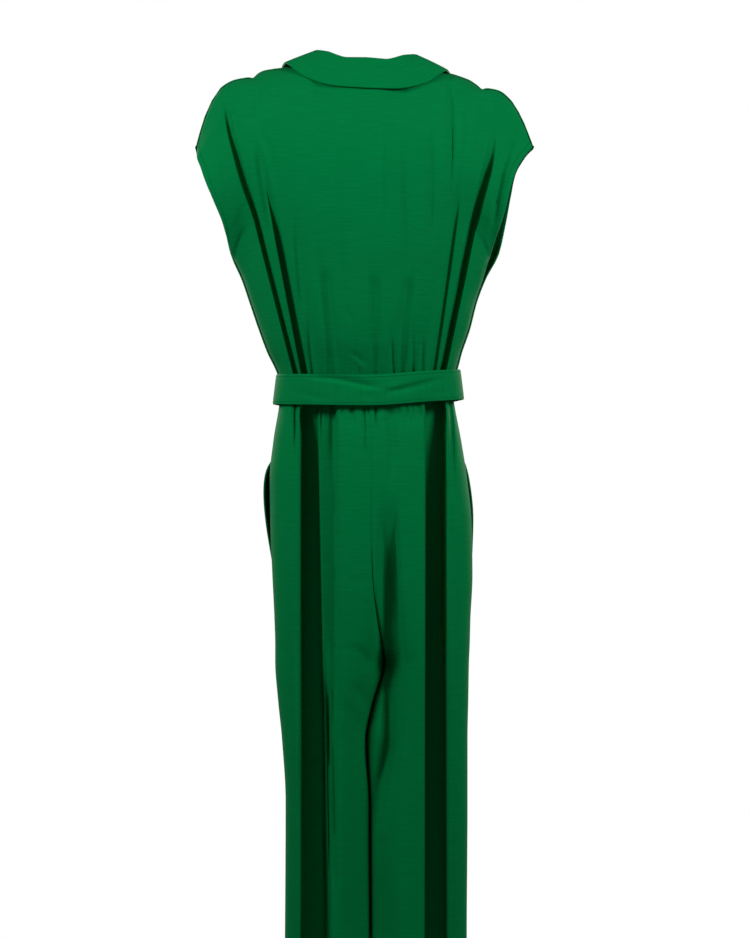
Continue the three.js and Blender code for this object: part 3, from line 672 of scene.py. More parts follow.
@dataclass
class Bodice:
    """The back and the two crossed fronts, with their folds from the shoulders to the waist."""

    sizes: Table = Table(
        "h left right front_right back front",
        (0, 114, 115, 115, 84, 83),
        (0.06, 121, 122, 122, 91, 91),
        (0.13, 132, 128, 128, 99, 99),
        (0.23, 144, 139, 139, 105, 108),
        (0.34, 156, 148, 148, 109, 116),
        (0.44, 167, 159, 160, 112, 121),
        (0.56, 184, 171, 180, 113, 124),
        (0.69, 196, 185, 191, 112, 121),
        (0.83, 215, 196, 200, 106, 112),
        (0.9, 223, 204, 205, 101, 105),
        (0.96, 230, 216, 216, 97, 98),
        (1, 231, 227, 227, 94, 94),
    )
    armhole: Table = Table(
        "h swing",
        (0, 90), (0.51, 90), (0.55, 84), (0.6, 77.5), (0.64, 72.5), (0.7, 67.5), (0.77, 64),
        (0.84, 63), (0.9, 67), (0.96, 76), (1, 88),
    )
    shoulder: Table = Table(
        "x z",
        (-227, -100), (-215, -67), (-199, -38), (-182, -24), (-158, -19), (-140, -9), (-110, 0),
        (-82, 3), (82, 9), (110, 7), (140, 3), (158, -5), (182, -10), (199, -20), (215, -46),
        (224, -72), (231, -100),
    )
    wrap: Table = Table(
        "h x",
        (0, -66), (0.13, -47), (0.27, -24), (0.4, 0), (0.56, 20), (0.75, 42), (0.91, 63), (1, 82),
    )
    folds: tuple[Fold, ...] = (
        Fold(x=-174, head=0.96, to_x=-98, half=1.5, right=5.5, left=3.5, depth=17, onset=4.5),
        Fold(x=-126, head=0.7, to_x=-86, half=1.5, right=5, left=9, depth=6.5, onset=3),
        Fold(x=-60, head=0.34, to_x=-45, half=2, right=8, left=8, depth=4),
        Fold(x=-12, head=0.36, to_x=-12, half=2, right=8, left=8, depth=4),
        Fold(x=57, head=0.36, to_x=42, half=2, right=8, left=8, depth=4),
        Fold(x=138, head=0.74, to_x=79, half=2.5, right=3.5, left=3.5, depth=13.5, onset=2.2),
        Fold(x=191, head=0.985, to_x=90, half=1, right=2.5, left=4.5, depth=12.5, onset=9),
    )
    front_folds: tuple[Fold, ...] = (
        Fold(x=-186, head=0.9, to_x=-100, half=3, right=8, left=8, depth=7, face=Face.FRONT),
        Fold(x=-142, head=0.86, to_x=-80, half=3, right=8, left=8, depth=5, face=Face.FRONT),
        Fold(x=142, head=0.86, to_x=80, half=3, right=8, left=8, depth=5, face=Face.FRONT),
        Fold(x=186, head=0.9, to_x=100, half=3, right=8, left=8, depth=7, face=Face.FRONT),
    )
    # columns to each stretch between the folds' marks
    columns: tuple[int, ...] = (
        3, 2, 1, 2, 1, 1, 1, 1, 5, 1, 1, 1, 3, 1, 1, 1, 4, 1, 1, 1, 5, 2, 1, 2, 2, 2, 1, 2, 2,
    )
    front_columns: tuple[int, ...] = (1, 2, 1, 2, 3, 2, 1, 2, 13)
    notches: tuple[float, ...] = (153, -157)  # where pleats draw the shoulder seams down
    notch_wide: float = 5.0
    notch_deep: float = 3.0
    body_rows: int = 118
    turn_rows: int = 44
    turn_from: float = 0.8  # above this share of the height the rows follow the turn over the shoulder
    neck_turn: float = 12.0  # the neck's curve narrows over one part in so many of the height
    deepest: float = 0.6  # fold, as a share of how far the panel stands out
    edge_fade: float = 2.5  # how soon the soft creases come up from the sides

    def creases(self) -> list[Crease]:
        """The soft folds and pleats of the back, left to right as seen from behind."""
        placed = [
            # faint long pleats from the left shoulder
            Crease(((158, -4), (156, -42), (150, -100)), 4.2, 1.8, 3.4, 0.03, 0.75),
            Crease(((143, -3), (142, -30), (138, -95)), 2.2, 1.8, 2.4, 0.06, 0.75),
            Crease(((125, 3), (123, -18), (120, -60)), 3.4, 1.8, 2.4, 0.03, 0.7),
            Crease(((199, -56), (192, -150), (176, -240)), 2.4, 4, 5),
            Crease(((172, -150), (160, -230), (140, -330), (124, -400)), 2.4, 8, 8, 0.3, 0.3),
            Crease(((128, -330), (116, -392), (110, -425)), 2.6, 3, 3, 0.5, 0.1),
            Crease(((117, -355), (106, -392), (101, -425)), 3.2, 2.5, 3, 0.5, 0.1),
            # between the left shoulder's folds and the middle
            Crease(((150, -60), (128, -120), (110, -200)), 2.2, 4, 9, 0.3, 0.5),
            Crease(((150, -80), (139, -150), (131, -190), (122, -250)), 5.0, 6, 6, 0.4, 0.4),
            Crease(((96, -190), (88, -290), (83, -350)), 3.0, 3.6, 5),
            Crease(((78, -320), (72, -392), (68, -425)), 3.0, 3, 3.5, 0.5, 0.1),
            Crease(((72, -199), (62, -281), (53, -331), (45, -380), (41, -430)), 2.2, 5, 9, 0.4, 0.1),
            Crease(((52, -370), (50, -425)), 2.4, 2, 2, 0.6, 0.1),
            Crease(((37, -90), (34, -260), (30, -330)), 2.3, 3.4, 4),
            Crease(((16, -330), (14, -425)), 1.4, 3, 3, 0.6, 0.1),
            # the middle and the right
            Crease(((-10, -240), (-12, -331), (-12, -430)), 2.2, 5, 5, 0.6, 0.1),
            Crease(((-27, -54), (-27, -180), (-28, -250)), 2.5, 3, 4),
            Crease(((-34, -340), (-35, -392), (-36, -428)), 3.2, 3, 3, 0.5, 0.1),
            Crease(((-47, -280), (-46, -350), (-47, -428)), 3.0, 2.5, 3.5, 0.6, 0.1),
            Crease(((-49, -60), (-50, -170), (-54, -250), (-60, -320)), 2.6, 3, 4, 0.3, 0.5),
            Crease(((-64, -240), (-62, -320), (-62, -392), (-60, -428)), 2.6, 3.5, 4, 0.5, 0.1),
            Crease(((-76, -350), (-74, -392), (-71, -428)), 2.6, 2, 2.5, 0.5, 0.1),
            Crease(((-90, -60), (-88, -160), (-84, -260)), 2.6, 3.6, 4),
            Crease(((-112, -2), (-115, -60), (-113, -140), (-111, -210)), 5.4, 4.6, 3.0, 0.03, 0.5),
            Crease(((-134, -20), (-133, -90), (-128, -150)), 2.0, 3, 3, 0.1, 0.6),
            Crease(((-149, -10), (-148, -34), (-146, -80)), 4.6, 1.8, 2.2, 0.35, 0.6),
            Crease(((-158, -14), (-157, -40), (-155, -76)), 3.0, 2.4, 2.6, 0.03, 0.7),
            Crease(((-168, -18), (-166, -45), (-164, -90)), 4.6, 1.8, 2.2, 0.35, 0.6),
            Crease(
                ((-207, -62), (-192, -104), (-183, -136), (-174, -179), (-170, -206), (-163, -236)),
                7.5, 3, 4.5, 0.2, 0.3,
            ),
            Crease(((-186, -60), (-180, -90), (-172, -140)), 2.0, 4, 4),
            Crease(((-158, -250), (-146, -300), (-128, -350), (-118, -400)), 2.4, 5, 5),
            # thin slanting wrinkles above the belt
            Crease(((30, -321), (14, -350)), 1.0, 2.2, 2.2),
            Crease(((24, -379), (-2, -400)), 1.3, 2.2, 2.2),
            Crease(((20, -386), (0, -408)), -0.8, 2.2, 2.2),
        ]
        return placed + gathers(16, (-92, 98), 5, -414, -372, 2.2)

    def front_creases(self) -> list[Crease]:
        """The soft folds of the fronts, alike in depth and spacing to the back's."""
        placed = [
            Crease(((110, -20), (92, -150), (70, -300)), 3.0, 8, 9),
            Crease(((158, -10), (140, -130), (104, -300)), 3.4, 6, 8, 0.2, 0.4),
            Crease(((60, -180), (52, -300), (46, -420)), 2.6, 7, 7, 0.4, 0.1),
            Crease(((-112, -20), (-96, -140), (-72, -310)), 3.2, 8, 8),
            Crease(((-160, -14), (-146, -120), (-110, -300)), 3.0, 7, 7, 0.2, 0.4),
            Crease(((-58, -170), (-50, -300), (-44, -420)), 2.8, 6, 8, 0.4, 0.1),
            Crease(((40, -240), (-10, -350), (-40, -420)), 2.0, 6, 8, 0.4, 0.1),
        ]
        return placed + gathers(22, (-98, 98), 11, -412, -352, 1.8)

    def across(self, face: Face, share: np.ndarray, h: float) -> np.ndarray:
        """Where a section lies across, at shares from -1 at the wearer's right edge to 1 at the left one."""
        left = self.sizes["left"](h)
        right = self.sizes["right" if face is Face.BACK else "front_right"](h)
        swing = math.radians(self.armhole["swing"](h))
        return (left - right) / 2 + ((left + right) / 2) * (np.sin(swing * share) / math.sin(swing))

    def point(
        self, face: Face, share: np.ndarray, h: float, out: float = 0.0, fine: bool = False
    ) -> np.ndarray:
        """Points of the bodice's outer face.

        Args:
            face: back or front.
            share: shares across.
            h: the share of the height from the waist seam to the shoulder seam.
            out: an extra stand-off.
            fine: whether the soft creases are pressed in too.

        Returns:
            One point for each share.
        """
        sizes = self.sizes
        x = self.across(face, share, h)
        left, right = float(sizes["left"](1)), float(sizes["right"](1))
        top_x = (left - right) / 2 + (left + right) / 2 * np.sin(math.pi / 2 * share)
        neck = np.zeros(np.shape(x))
        if face is Face.BACK:
            neck = np.maximum(0, 1 - (top_x / NECK_HALF) ** 2)
        top_z = mix(self.shoulder["z"](top_x), NECK_BACK_Z, neck)
        top_y = NECK_BACK_Y * neck ** mix(0.5, 1.5, min(1.0, (1 - h) * self.neck_turn))
        z = mix(WAIST_Z, top_z, h)
        over = math.sqrt(max(0.0, 1 - h**SHOULDER_ROUND))
        cosine = np.maximum(0, np.cos(math.radians(self.armhole["swing"](h)) * share))
        depth = sizes["back" if face is Face.BACK else "front"](h)
        full = (depth + out) * cosine**BODY_SQUARE
        folds = self.folds if face is Face.BACK else self.front_folds
        fold = pressed(folds, x, lambda one: (one.head - h) / one.head)
        fold = np.minimum(fold, full * self.deepest)
        y = full - fold
        if fine:
            soft = creased(self.creases() if face is Face.BACK else self.front_creases(), x, z)
            y = full - joint_depth(fold, soft * smooth(cosine * self.edge_fade))
            notch = sum(np.exp(-(((x - at) / self.notch_wide) ** 2)) for at in self.notches)
            z = z - self.notch_deep * notch * (1 - over)
        y = int(face) * mix(top_y, y, over)
        return np.stack((x, y, z), axis=-1)

    def rows(self) -> np.ndarray:
        """The heights of the rows, as shares, close together where the cloth turns over the shoulder."""
        body = np.linspace(0, self.turn_from, self.body_rows)[:-1]
        start = math.asin(self.turn_from ** (SHOULDER_ROUND / 2))
        turn = np.sin(np.linspace(start, math.pi / 2, self.turn_rows)) ** (2 / SHOULDER_ROUND)
        return np.concatenate((body, turn))

    def wrap_share(self, side: Side, h: float) -> float:
        """The share of a front's free edge."""
        samples = np.linspace(-1, 1, SAMPLES)
        return float(np.interp(side * self.wrap["x"](h), self.across(Face.FRONT, samples, h), samples))

    def grid(self, face: Face, folds: Sequence[Fold], side: Side | None, out: float) -> np.ndarray:
        """The outer face of a panel, row by row from the waist to the shoulder.

        Args:
            face: back or front.
            folds: the deep folds on this panel.
            side: the front's side, or None for the back.
            out: an extra stand-off.

        Returns:
            The grid of points.
        """
        made = []
        for h in self.rows():
            ends = (-1.0, 1.0) if side is None else (float(side), self.wrap_share(side, h))
            marks = [mark for fold in folds for mark in fold.marks((fold.head - h) / fold.head)]
            counts = self.columns if side is None else self.front_columns
            shares = column_shares(
                lambda share: self.point(face, share, h, out),
                lambda share: self.across(face, share, h),
                marks,
                ends,
                [FINE_BODICE * count for count in counts],
            )
            made.append(self.point(face, shares, h, out, fine=True))
        return np.array(made)

    def settle(self, face: Face) -> Callable[[np.ndarray], np.ndarray]:
        """Keeps a panel on its own side of the side and shoulder seams, and level at the waist."""

        def done(grid: np.ndarray) -> np.ndarray:
            grid = grid.copy()
            grid[0, :, 2] = WAIST_Z + SEAM / 2
            grid[..., 1] = face * np.maximum(face * grid[..., 1], SEWN / 2)
            return grid

        return done

    def build(self, cloth: bpy.types.Material) -> dict[str, np.ndarray]:
        """Makes the three panels.

        Args:
            cloth: their finish.

        Returns:
            Each panel's outer grid, by name.
        """
        back = self.grid(Face.BACK, self.folds, None, 0.0)
        back = tucked(back, -1, "first last bottom top")
        piece = make_wall("bodice_back_cloth", back, CLOTH, -1, settle=self.settle(Face.BACK), level=True)
        rests = ("belt_band_cloth",)
        cut = Cut(640, 450, 0.82, "gathered", rests)
        dress(piece, cloth, "bodice_back", cut)
        grids = {"back": back}
        for side in Side:
            folds = [fold for fold in self.front_folds if fold.x * side > 0]
            out = LAP if side is Side.RIGHT else 0.0
            grid = self.grid(Face.FRONT, folds, side, out)
            grid = tucked(grid, int(side), "first bottom top")
            name = f"bodice_front_{side.name.lower()}"
            settle = self.settle(Face.FRONT)
            piece = make_wall(f"{name}_cloth", grid, CLOTH, int(side), settle=settle, level=True)
            dress(piece, cloth, name, Cut(400, 440, 0.62, "gathered", rests))
            grids[f"front_{side.name.lower()}"] = grid
        return grids


@dataclass
class Trousers:
    """Four leg panels that hang in deep vertical folds, and the bags of the side pockets."""

    sizes: Table = Table(
        "z middle left right back front joined oval",
        (-1430, -6, 113, 139, 80, 80, 0, 0),
        (-1174, -6, 110, 136, 80, 80, 0, 0),
        (-987, -5, 109, 137, 84, 84, 0, 0),
        (-900, -1, 114, 137, 87, 87, 0, 0.04),
        (-850, -10, 119, 138, 90, 90, 0, 0.11),
        (-795, -24, 123, 139, 94, 92, 0, 0.22),
        (-775, -22, 123, 140, 95, 93, 0.4, 0.27),
        (-740, -16, 124, 141, 97, 94, 0.75, 0.36),
        (-680, -9, 127, 144, 100, 96, 0.94, 0.53),
        (-610, -7, 130, 143, 101, 97, 0.985, 0.73),
        (-550, -7, 131, 137, 100, 97, 1, 0.88),
        (-498, -6, 126, 129, 97, 94, 1, 0.97),
        (-456, -3, 119, 121, 89, 88, 1, 1),
        (-420, -1, 114, 115, 84, 83, 1, 1),
    )
    folds: tuple[Fold, ...] = (
        Fold(x=77, to_x=66, half=7.5, spread=12, right=6, left=4, depth=40),
        Fold(x=-90, to_x=-92, half=9, spread=3, right=8, left=4, depth=46),
        Fold(x=66, to_x=62, half=6, spread=5, right=14, left=8, depth=38, face=Face.FRONT),
        Fold(x=-74, to_x=-78, half=6, spread=5, right=8, left=14, depth=38, face=Face.FRONT),
    )
    columns: tuple[int, ...] = (7, 4, 2, 2, 9)  # to each stretch between a fold's marks
    fold_head: float = 100.0  # how far above the waist the hanging folds would begin
    row_step: float = 6.2
    pocket_top: float = -528.0
    pocket_bottom: float = -668.0
    gape_left: float = 9.0
    gape_right: float = 4.0
    curl: float = 8.0  # how far the gaping edge turns round towards the back
    curl_run: float = 16.0
    gape_run: float = 49.0
    bag_top: float = -518.0
    bag_bottom: float = -700.0
    bag_reach: float = 96.0
    sewn_to: float = -790.0  # down to here the middle seam is drawn close
    bend: float = 4.0  # how far the legs' inner sides bend round each other, so that no light comes between
    bend_reach: float = 45.0  # from front to back
    bend_wide: float = 15.0  # from side to side
    bend_top: float = -800.0
    bend_rise: float = 50.0
    deepest: float = 0.5  # fold, as a share of how far the panel stands out
    edge_fade: float = 40.0  # how far a panel stands out where its soft creases reach their full depth

    def creases(self) -> list[Crease]:
        """The soft folds of the back of the legs, left to right as seen from behind."""
        placed = [
            # the ledge beside the left trough, and the soft inner side of the right leg
            Crease(
                ((54, -415), (53, -560), (52, -700), (50, -840), (50, -900)), 17, 2.5, 3, 0.02, 0.35, 11.5
            ),
            Crease(((46, -780), (45, -900), (44, -1000), (43, -1150)), 10, 3, 2.5, 0.2, 0.4, 3),
            Crease(((57, -760), (53, -880), (52.5, -1000), (52, -1430)), 32, 2.5, 2, 0.15, 0.02, 3),
            Crease(
                (
                    (-31, -560), (-32, -630), (-34, -709), (-38, -788), (-39, -841),
                    (-36, -893), (-29, -946), (-22, -985), (-15, -1030),
                ),
                19.0, 8, 3.5, 0.28, 0.25, 7,
            ),
            # the legs' inner sides, pressed together
            Crease(((-24, -800), (-10, -850), (-1, -900), (-5, -987), (-6, -1430)), -9.0, 6, 6, 0.02, 0.02),
            # pleats that hang from the waist
            Crease(((94, -415), (94, -480), (93, -540)), 8, 2, 2.4, 0.05, 0.7),
            Crease(((60, -415), (59, -460), (58, -520)), 3.6, 1.8, 2.2, 0.05, 0.7),
            Crease(((44, -415), (44, -470), (43, -560)), 5.0, 4.5, 4, 0.05, 0.6),
            Crease(((33, -415), (31, -452), (30, -500)), 2.6, 2.6, 3, 0.05, 0.7),
            Crease(((16, -415), (17, -452), (20, -510)), 2.8, 3, 3, 0.05, 0.7),
            Crease(((2, -438), (1, -500), (-1, -560)), 3.0, 1.6, 2, 0.2, 0.6),
            Crease(((-11, -415), (-13, -470), (-14, -540)), 3.0, 1.8, 2.6, 0.05, 0.7),
            Crease(((-25, -415), (-28, -452), (-36, -510), (-34, -570)), 4.6, 5, 6, 0.05, 0.5),
            Crease(((-42, -415), (-42, -450), (-43, -490)), 3.2, 1.8, 2.5, 0.05, 0.7),
            Crease(((-64, -415), (-67, -436), (-70, -470)), 3.8, 2.5, 2.5, 0.05, 0.7),
            Crease(((-72, -415), (-72, -452), (-72, -490)), 3.2, 3, 3, 0.05, 0.7),
            Crease(((-108, -415), (-114, -460), (-116, -540), (-117, -600)), 10, 1.8, 3.4, 0.05, 0.7),
            # long soft undulations of the lobes
            Crease(((112, -640), (105, -800), (101, -950), (100, -1430)), 9.0, 9, 4, 0.35, 0.02, 9),
            Crease(((-55, -540), (-57, -800), (-58, -1200), (-58, -1430)), 2.0, 12, 9, 0.4, 0.1),
            Crease(((-117, -600), (-120, -760), (-122, -900)), 2.2, 7, 7, 0.2, 0.5),
            Crease(((8, -860), (12, -960), (14, -1100), (14, -1430)), 4.5, 14, 13, 0.25, 0.05),
            Crease(((-30, -1050), (-34, -1200), (-34, -1430)), 2.4, 12, 12, 0.3, 0.05),
            # slanting wrinkles round the crotch and the knee
            Crease(((-8, -795), (8, -777), (30, -774)), 1.6, 4, 4),
            Crease(((30, -690), (10, -684), (-8, -689)), 1.0, 4, 4),
            Crease(((96, -800), (110, -776), (122, -772)), 1.3, 4, 4),
            Crease(((22, -816), (2, -842), (-8, -872)), 2.4, 5, 5),
            Crease(((36, -846), (16, -862), (4, -890)), 1.4, 5, 5),
        ]
        return placed + gathers(22, (-100, 102), 23, -438, -506, 3.6)

    def front_creases(self) -> list[Crease]:
        """The soft folds of the front of the legs, alike to the back's."""
        placed = [
            Crease(((100, -440), (98, -620), (96, -900)), 3.6, 7, 6, 0.15, 0.5),
            Crease(((44, -430), (40, -620), (38, -1000), (36, -1430)), 5.5, 10, 9, 0.1, 0.1),
            Crease(((-42, -430), (-40, -600), (-38, -900), (-38, -1430)), 5.5, 9, 10, 0.1, 0.1),
            Crease(((-104, -440), (-106, -620), (-108, -900)), 3.4, 6, 7, 0.15, 0.5),
            Crease(((18, -700), (22, -820), (26, -1000)), 3.4, 10, 10),
            Crease(((-34, -700), (-36, -820), (-30, -1000)), 3.4, 10, 10),
            Crease(((30, -716), (4, -704), (-20, -712)), 1.0, 5, 4),
        ]
        return placed + gathers(24, (-102, 102), 31, -428, -496, 2.0)

    def down(self, z: float) -> float:
        """The share of the hanging folds' way down."""
        head = WAIST_Z + self.fold_head
        return (head - z) / (head - HEM_Z)

    def across(self, side: Side, share: np.ndarray, z: float) -> np.ndarray:
        """Where a section lies across, at shares from 0 at the middle seam to 1 at the side seam."""
        middle = float(self.sizes["middle"](z))
        reach = float(self.sizes[side.name.lower()](z)) - side * middle
        return middle + side * reach * np.sin(math.pi / 2 * share) ** 2

    def point(self, face: Face, side: Side, share: np.ndarray, z: float, fine: bool = False) -> np.ndarray:
        """Points of a panel's outer face.

        Args:
            face: back or front.
            side: the wearer's side.
            share: shares across.
            z: the height.
            fine: whether the soft creases are pressed in too.

        Returns:
            One point for each share.
        """
        x = self.across(side, share, z)
        out = np.sin(math.pi / 2 * share) ** 2
        tube = np.maximum(0, np.sin(math.pi * share)) ** LEG_SQUARE
        ring = np.maximum(0, 1 - out * out) ** (BODY_SQUARE / 2)
        valley = mix(np.where(out < 0.5, tube, 1), 1, self.sizes["joined"](z))
        outline = mix(np.where(out < 0.5, 1, tube), ring, self.sizes["oval"](z))
        full = self.sizes["back" if face is Face.BACK else "front"](z) * valley * outline
        fold = pressed([one for one in self.folds if one.face is face], x, lambda _: self.down(z))
        fold = np.minimum(fold, full * self.deepest)
        y = full - fold
        if fine:
            creases = self.creases() if face is Face.BACK else self.front_creases()
            soft = creased(creases, x, np.full(x.shape, z))
            y = full - joint_depth(fold, soft * smooth(full / self.edge_fade))
        return np.stack((x, int(face) * y, np.full(x.shape, z)), axis=-1)

    def rows(self) -> np.ndarray:
        """The heights of the rows from the waist to the hem."""
        foot = HEM_Z + HEM_STEPS[0]
        even = np.linspace(WAIST_Z, foot, round((WAIST_Z - foot) / self.row_step))
        return np.concatenate((even, HEM_Z + np.array(HEM_STEPS[1:])))

    def grid(self, face: Face, side: Side) -> np.ndarray:
        """The outer face of a panel, row by row from the waist to the hem."""
        folds = [fold for fold in self.folds if fold.face is face and fold.x * side > 0]
        made = []
        for z in self.rows():
            marks = [mark for fold in folds for mark in fold.marks(self.down(z))]
            shares = column_shares(
                lambda share: self.point(face, side, share, z),
                lambda share: self.across(side, share, z),
                marks,
                (0.0, 1.0),
                [FINE_LEG * count for count in self.columns],
            )
            made.append(self.point(face, side, shares, z, fine=True))
        return np.array(made)

    def gape(self, side: Side, z: np.ndarray) -> np.ndarray:
        """How far the front's edge stands out at a pocket."""
        along = np.clip((self.pocket_top - z) / (self.pocket_top - self.pocket_bottom), 0, 1)
        most = self.gape_left if side is Side.LEFT else self.gape_right
        return most * np.sin(math.pi * along**0.6)

    def settle(self, face: Face, side: Side, turned: np.ndarray) -> Callable[[np.ndarray], np.ndarray]:
        """Keeps a panel on its own side of its seams, and level at the waist and the hem.

        Args:
            face: back or front.
            side: the wearer's side.
            turned: how far each point is turned round towards the back, at a gaping pocket.

        Returns:
            What changes a face's grid.
        """
        rows = self.rows()
        gap = np.where(rows > self.sewn_to, SEWN, SEAM)
        middle = (self.sizes["middle"](rows) + side * gap / 2)[:, None]

        def done(grid: np.ndarray) -> np.ndarray:
            grid = grid.copy()
            grid[0, :, 2] = WAIST_Z - SEAM / 2
            grid[-1, :, 2] = HEM_Z
            grid[:, 0, 0] = middle[:, 0]
            grid[..., 0] = side * np.maximum(side * grid[..., 0], side * middle)
            grid[..., 1] = face * np.maximum(face * grid[..., 1], SEWN / 2) + turned
            y = np.clip(grid[..., 1] / self.bend_reach, -1, 1)
            near = np.exp(-(((grid[..., 0] - middle) / self.bend_wide) ** 2))
            near *= smooth((self.bend_top - grid[..., 2]) / self.bend_rise)
            grid[..., 0] += self.bend * np.sin(math.pi * y) * (1 - y * y) ** 2 * near
            return grid

        return done

    def build(self, cloth: bpy.types.Material, bag_cloth: bpy.types.Material) -> dict[str, np.ndarray]:
        """Makes the four panels and the two bags.

        Args:
            cloth: the panels' finish.
            bag_cloth: the bags' finish.

        Returns:
            Each panel's outer grid, by name.
        """
        grids = {}
        for face in Face:
            for side in Side:
                facing = face * side
                grid = self.grid(face, side)
                plain = grid.copy()
                turned = np.zeros(grid.shape[:2])
                away = arc_map(grid)[..., 0]
                away = away[:, -1:] - away
                if face is Face.FRONT:
                    stand = self.gape(side, grid[:, :1, 2]) * smooth(1 - away / self.gape_run)
                    grid[..., 0] += side * stand
                    turned = self.curl * stand / self.gape_left * smooth(1 - away / self.curl_run)
                    self.bag(side, plain, bag_cloth)
                grid = tucked(grid, facing, "first last top bottom", 0.9)
                grid = grooved(grid, facing, grid[..., 2] - HEM_Z, HEM_STITCH)
                name = f"leg_{face.name.lower()}_{side.name.lower()}"
                settle = self.settle(face, side, turned)
                piece = make_wall(f"{name}_cloth", grid, CLOTH, facing, settle=settle)
                cut = Cut(350, 1075, 0.82, "hung", ("belt_band_cloth",))
                dress(piece, cloth, name, cut)
                grids[name] = grid
        return grids

    def bag(self, side: Side, front: np.ndarray, cloth: bpy.types.Material) -> None:
        """The part of a pocket bag behind the opening: two layers of cloth, sewn in at the side seam.

        Args:
            side: the wearer's side.
            front: the front panel's outer grid, before its edge gapes.
            cloth: the bag's finish.
        """
        facing = -int(side)
        outer = front - (CLOTH + SEAM) * grid_normals(front, facing)
        rows = (front[:, 0, 2] <= self.bag_top) & (front[:, 0, 2] >= self.bag_bottom)
        away = arc_map(front)[..., 0]
        away = (away[:, -1:] - away)[rows].mean(axis=0)
        grid = outer[rows][:, away <= self.bag_reach]

        def settle(points: np.ndarray) -> np.ndarray:
            points = points.copy()
            points[..., 1] = np.minimum(points[..., 1], -SEAM / 2)
            return points

        name = f"pocket_bag_{side.name.lower()}"
        piece = make_wall(f"{name}_cloth", grid, DOUBLE, facing, settle=settle)
        rests = (f"leg_front_{side.name.lower()}_cloth",)
        dress(piece, cloth, name, Cut(100, 185, 0.95, "hung", rests))


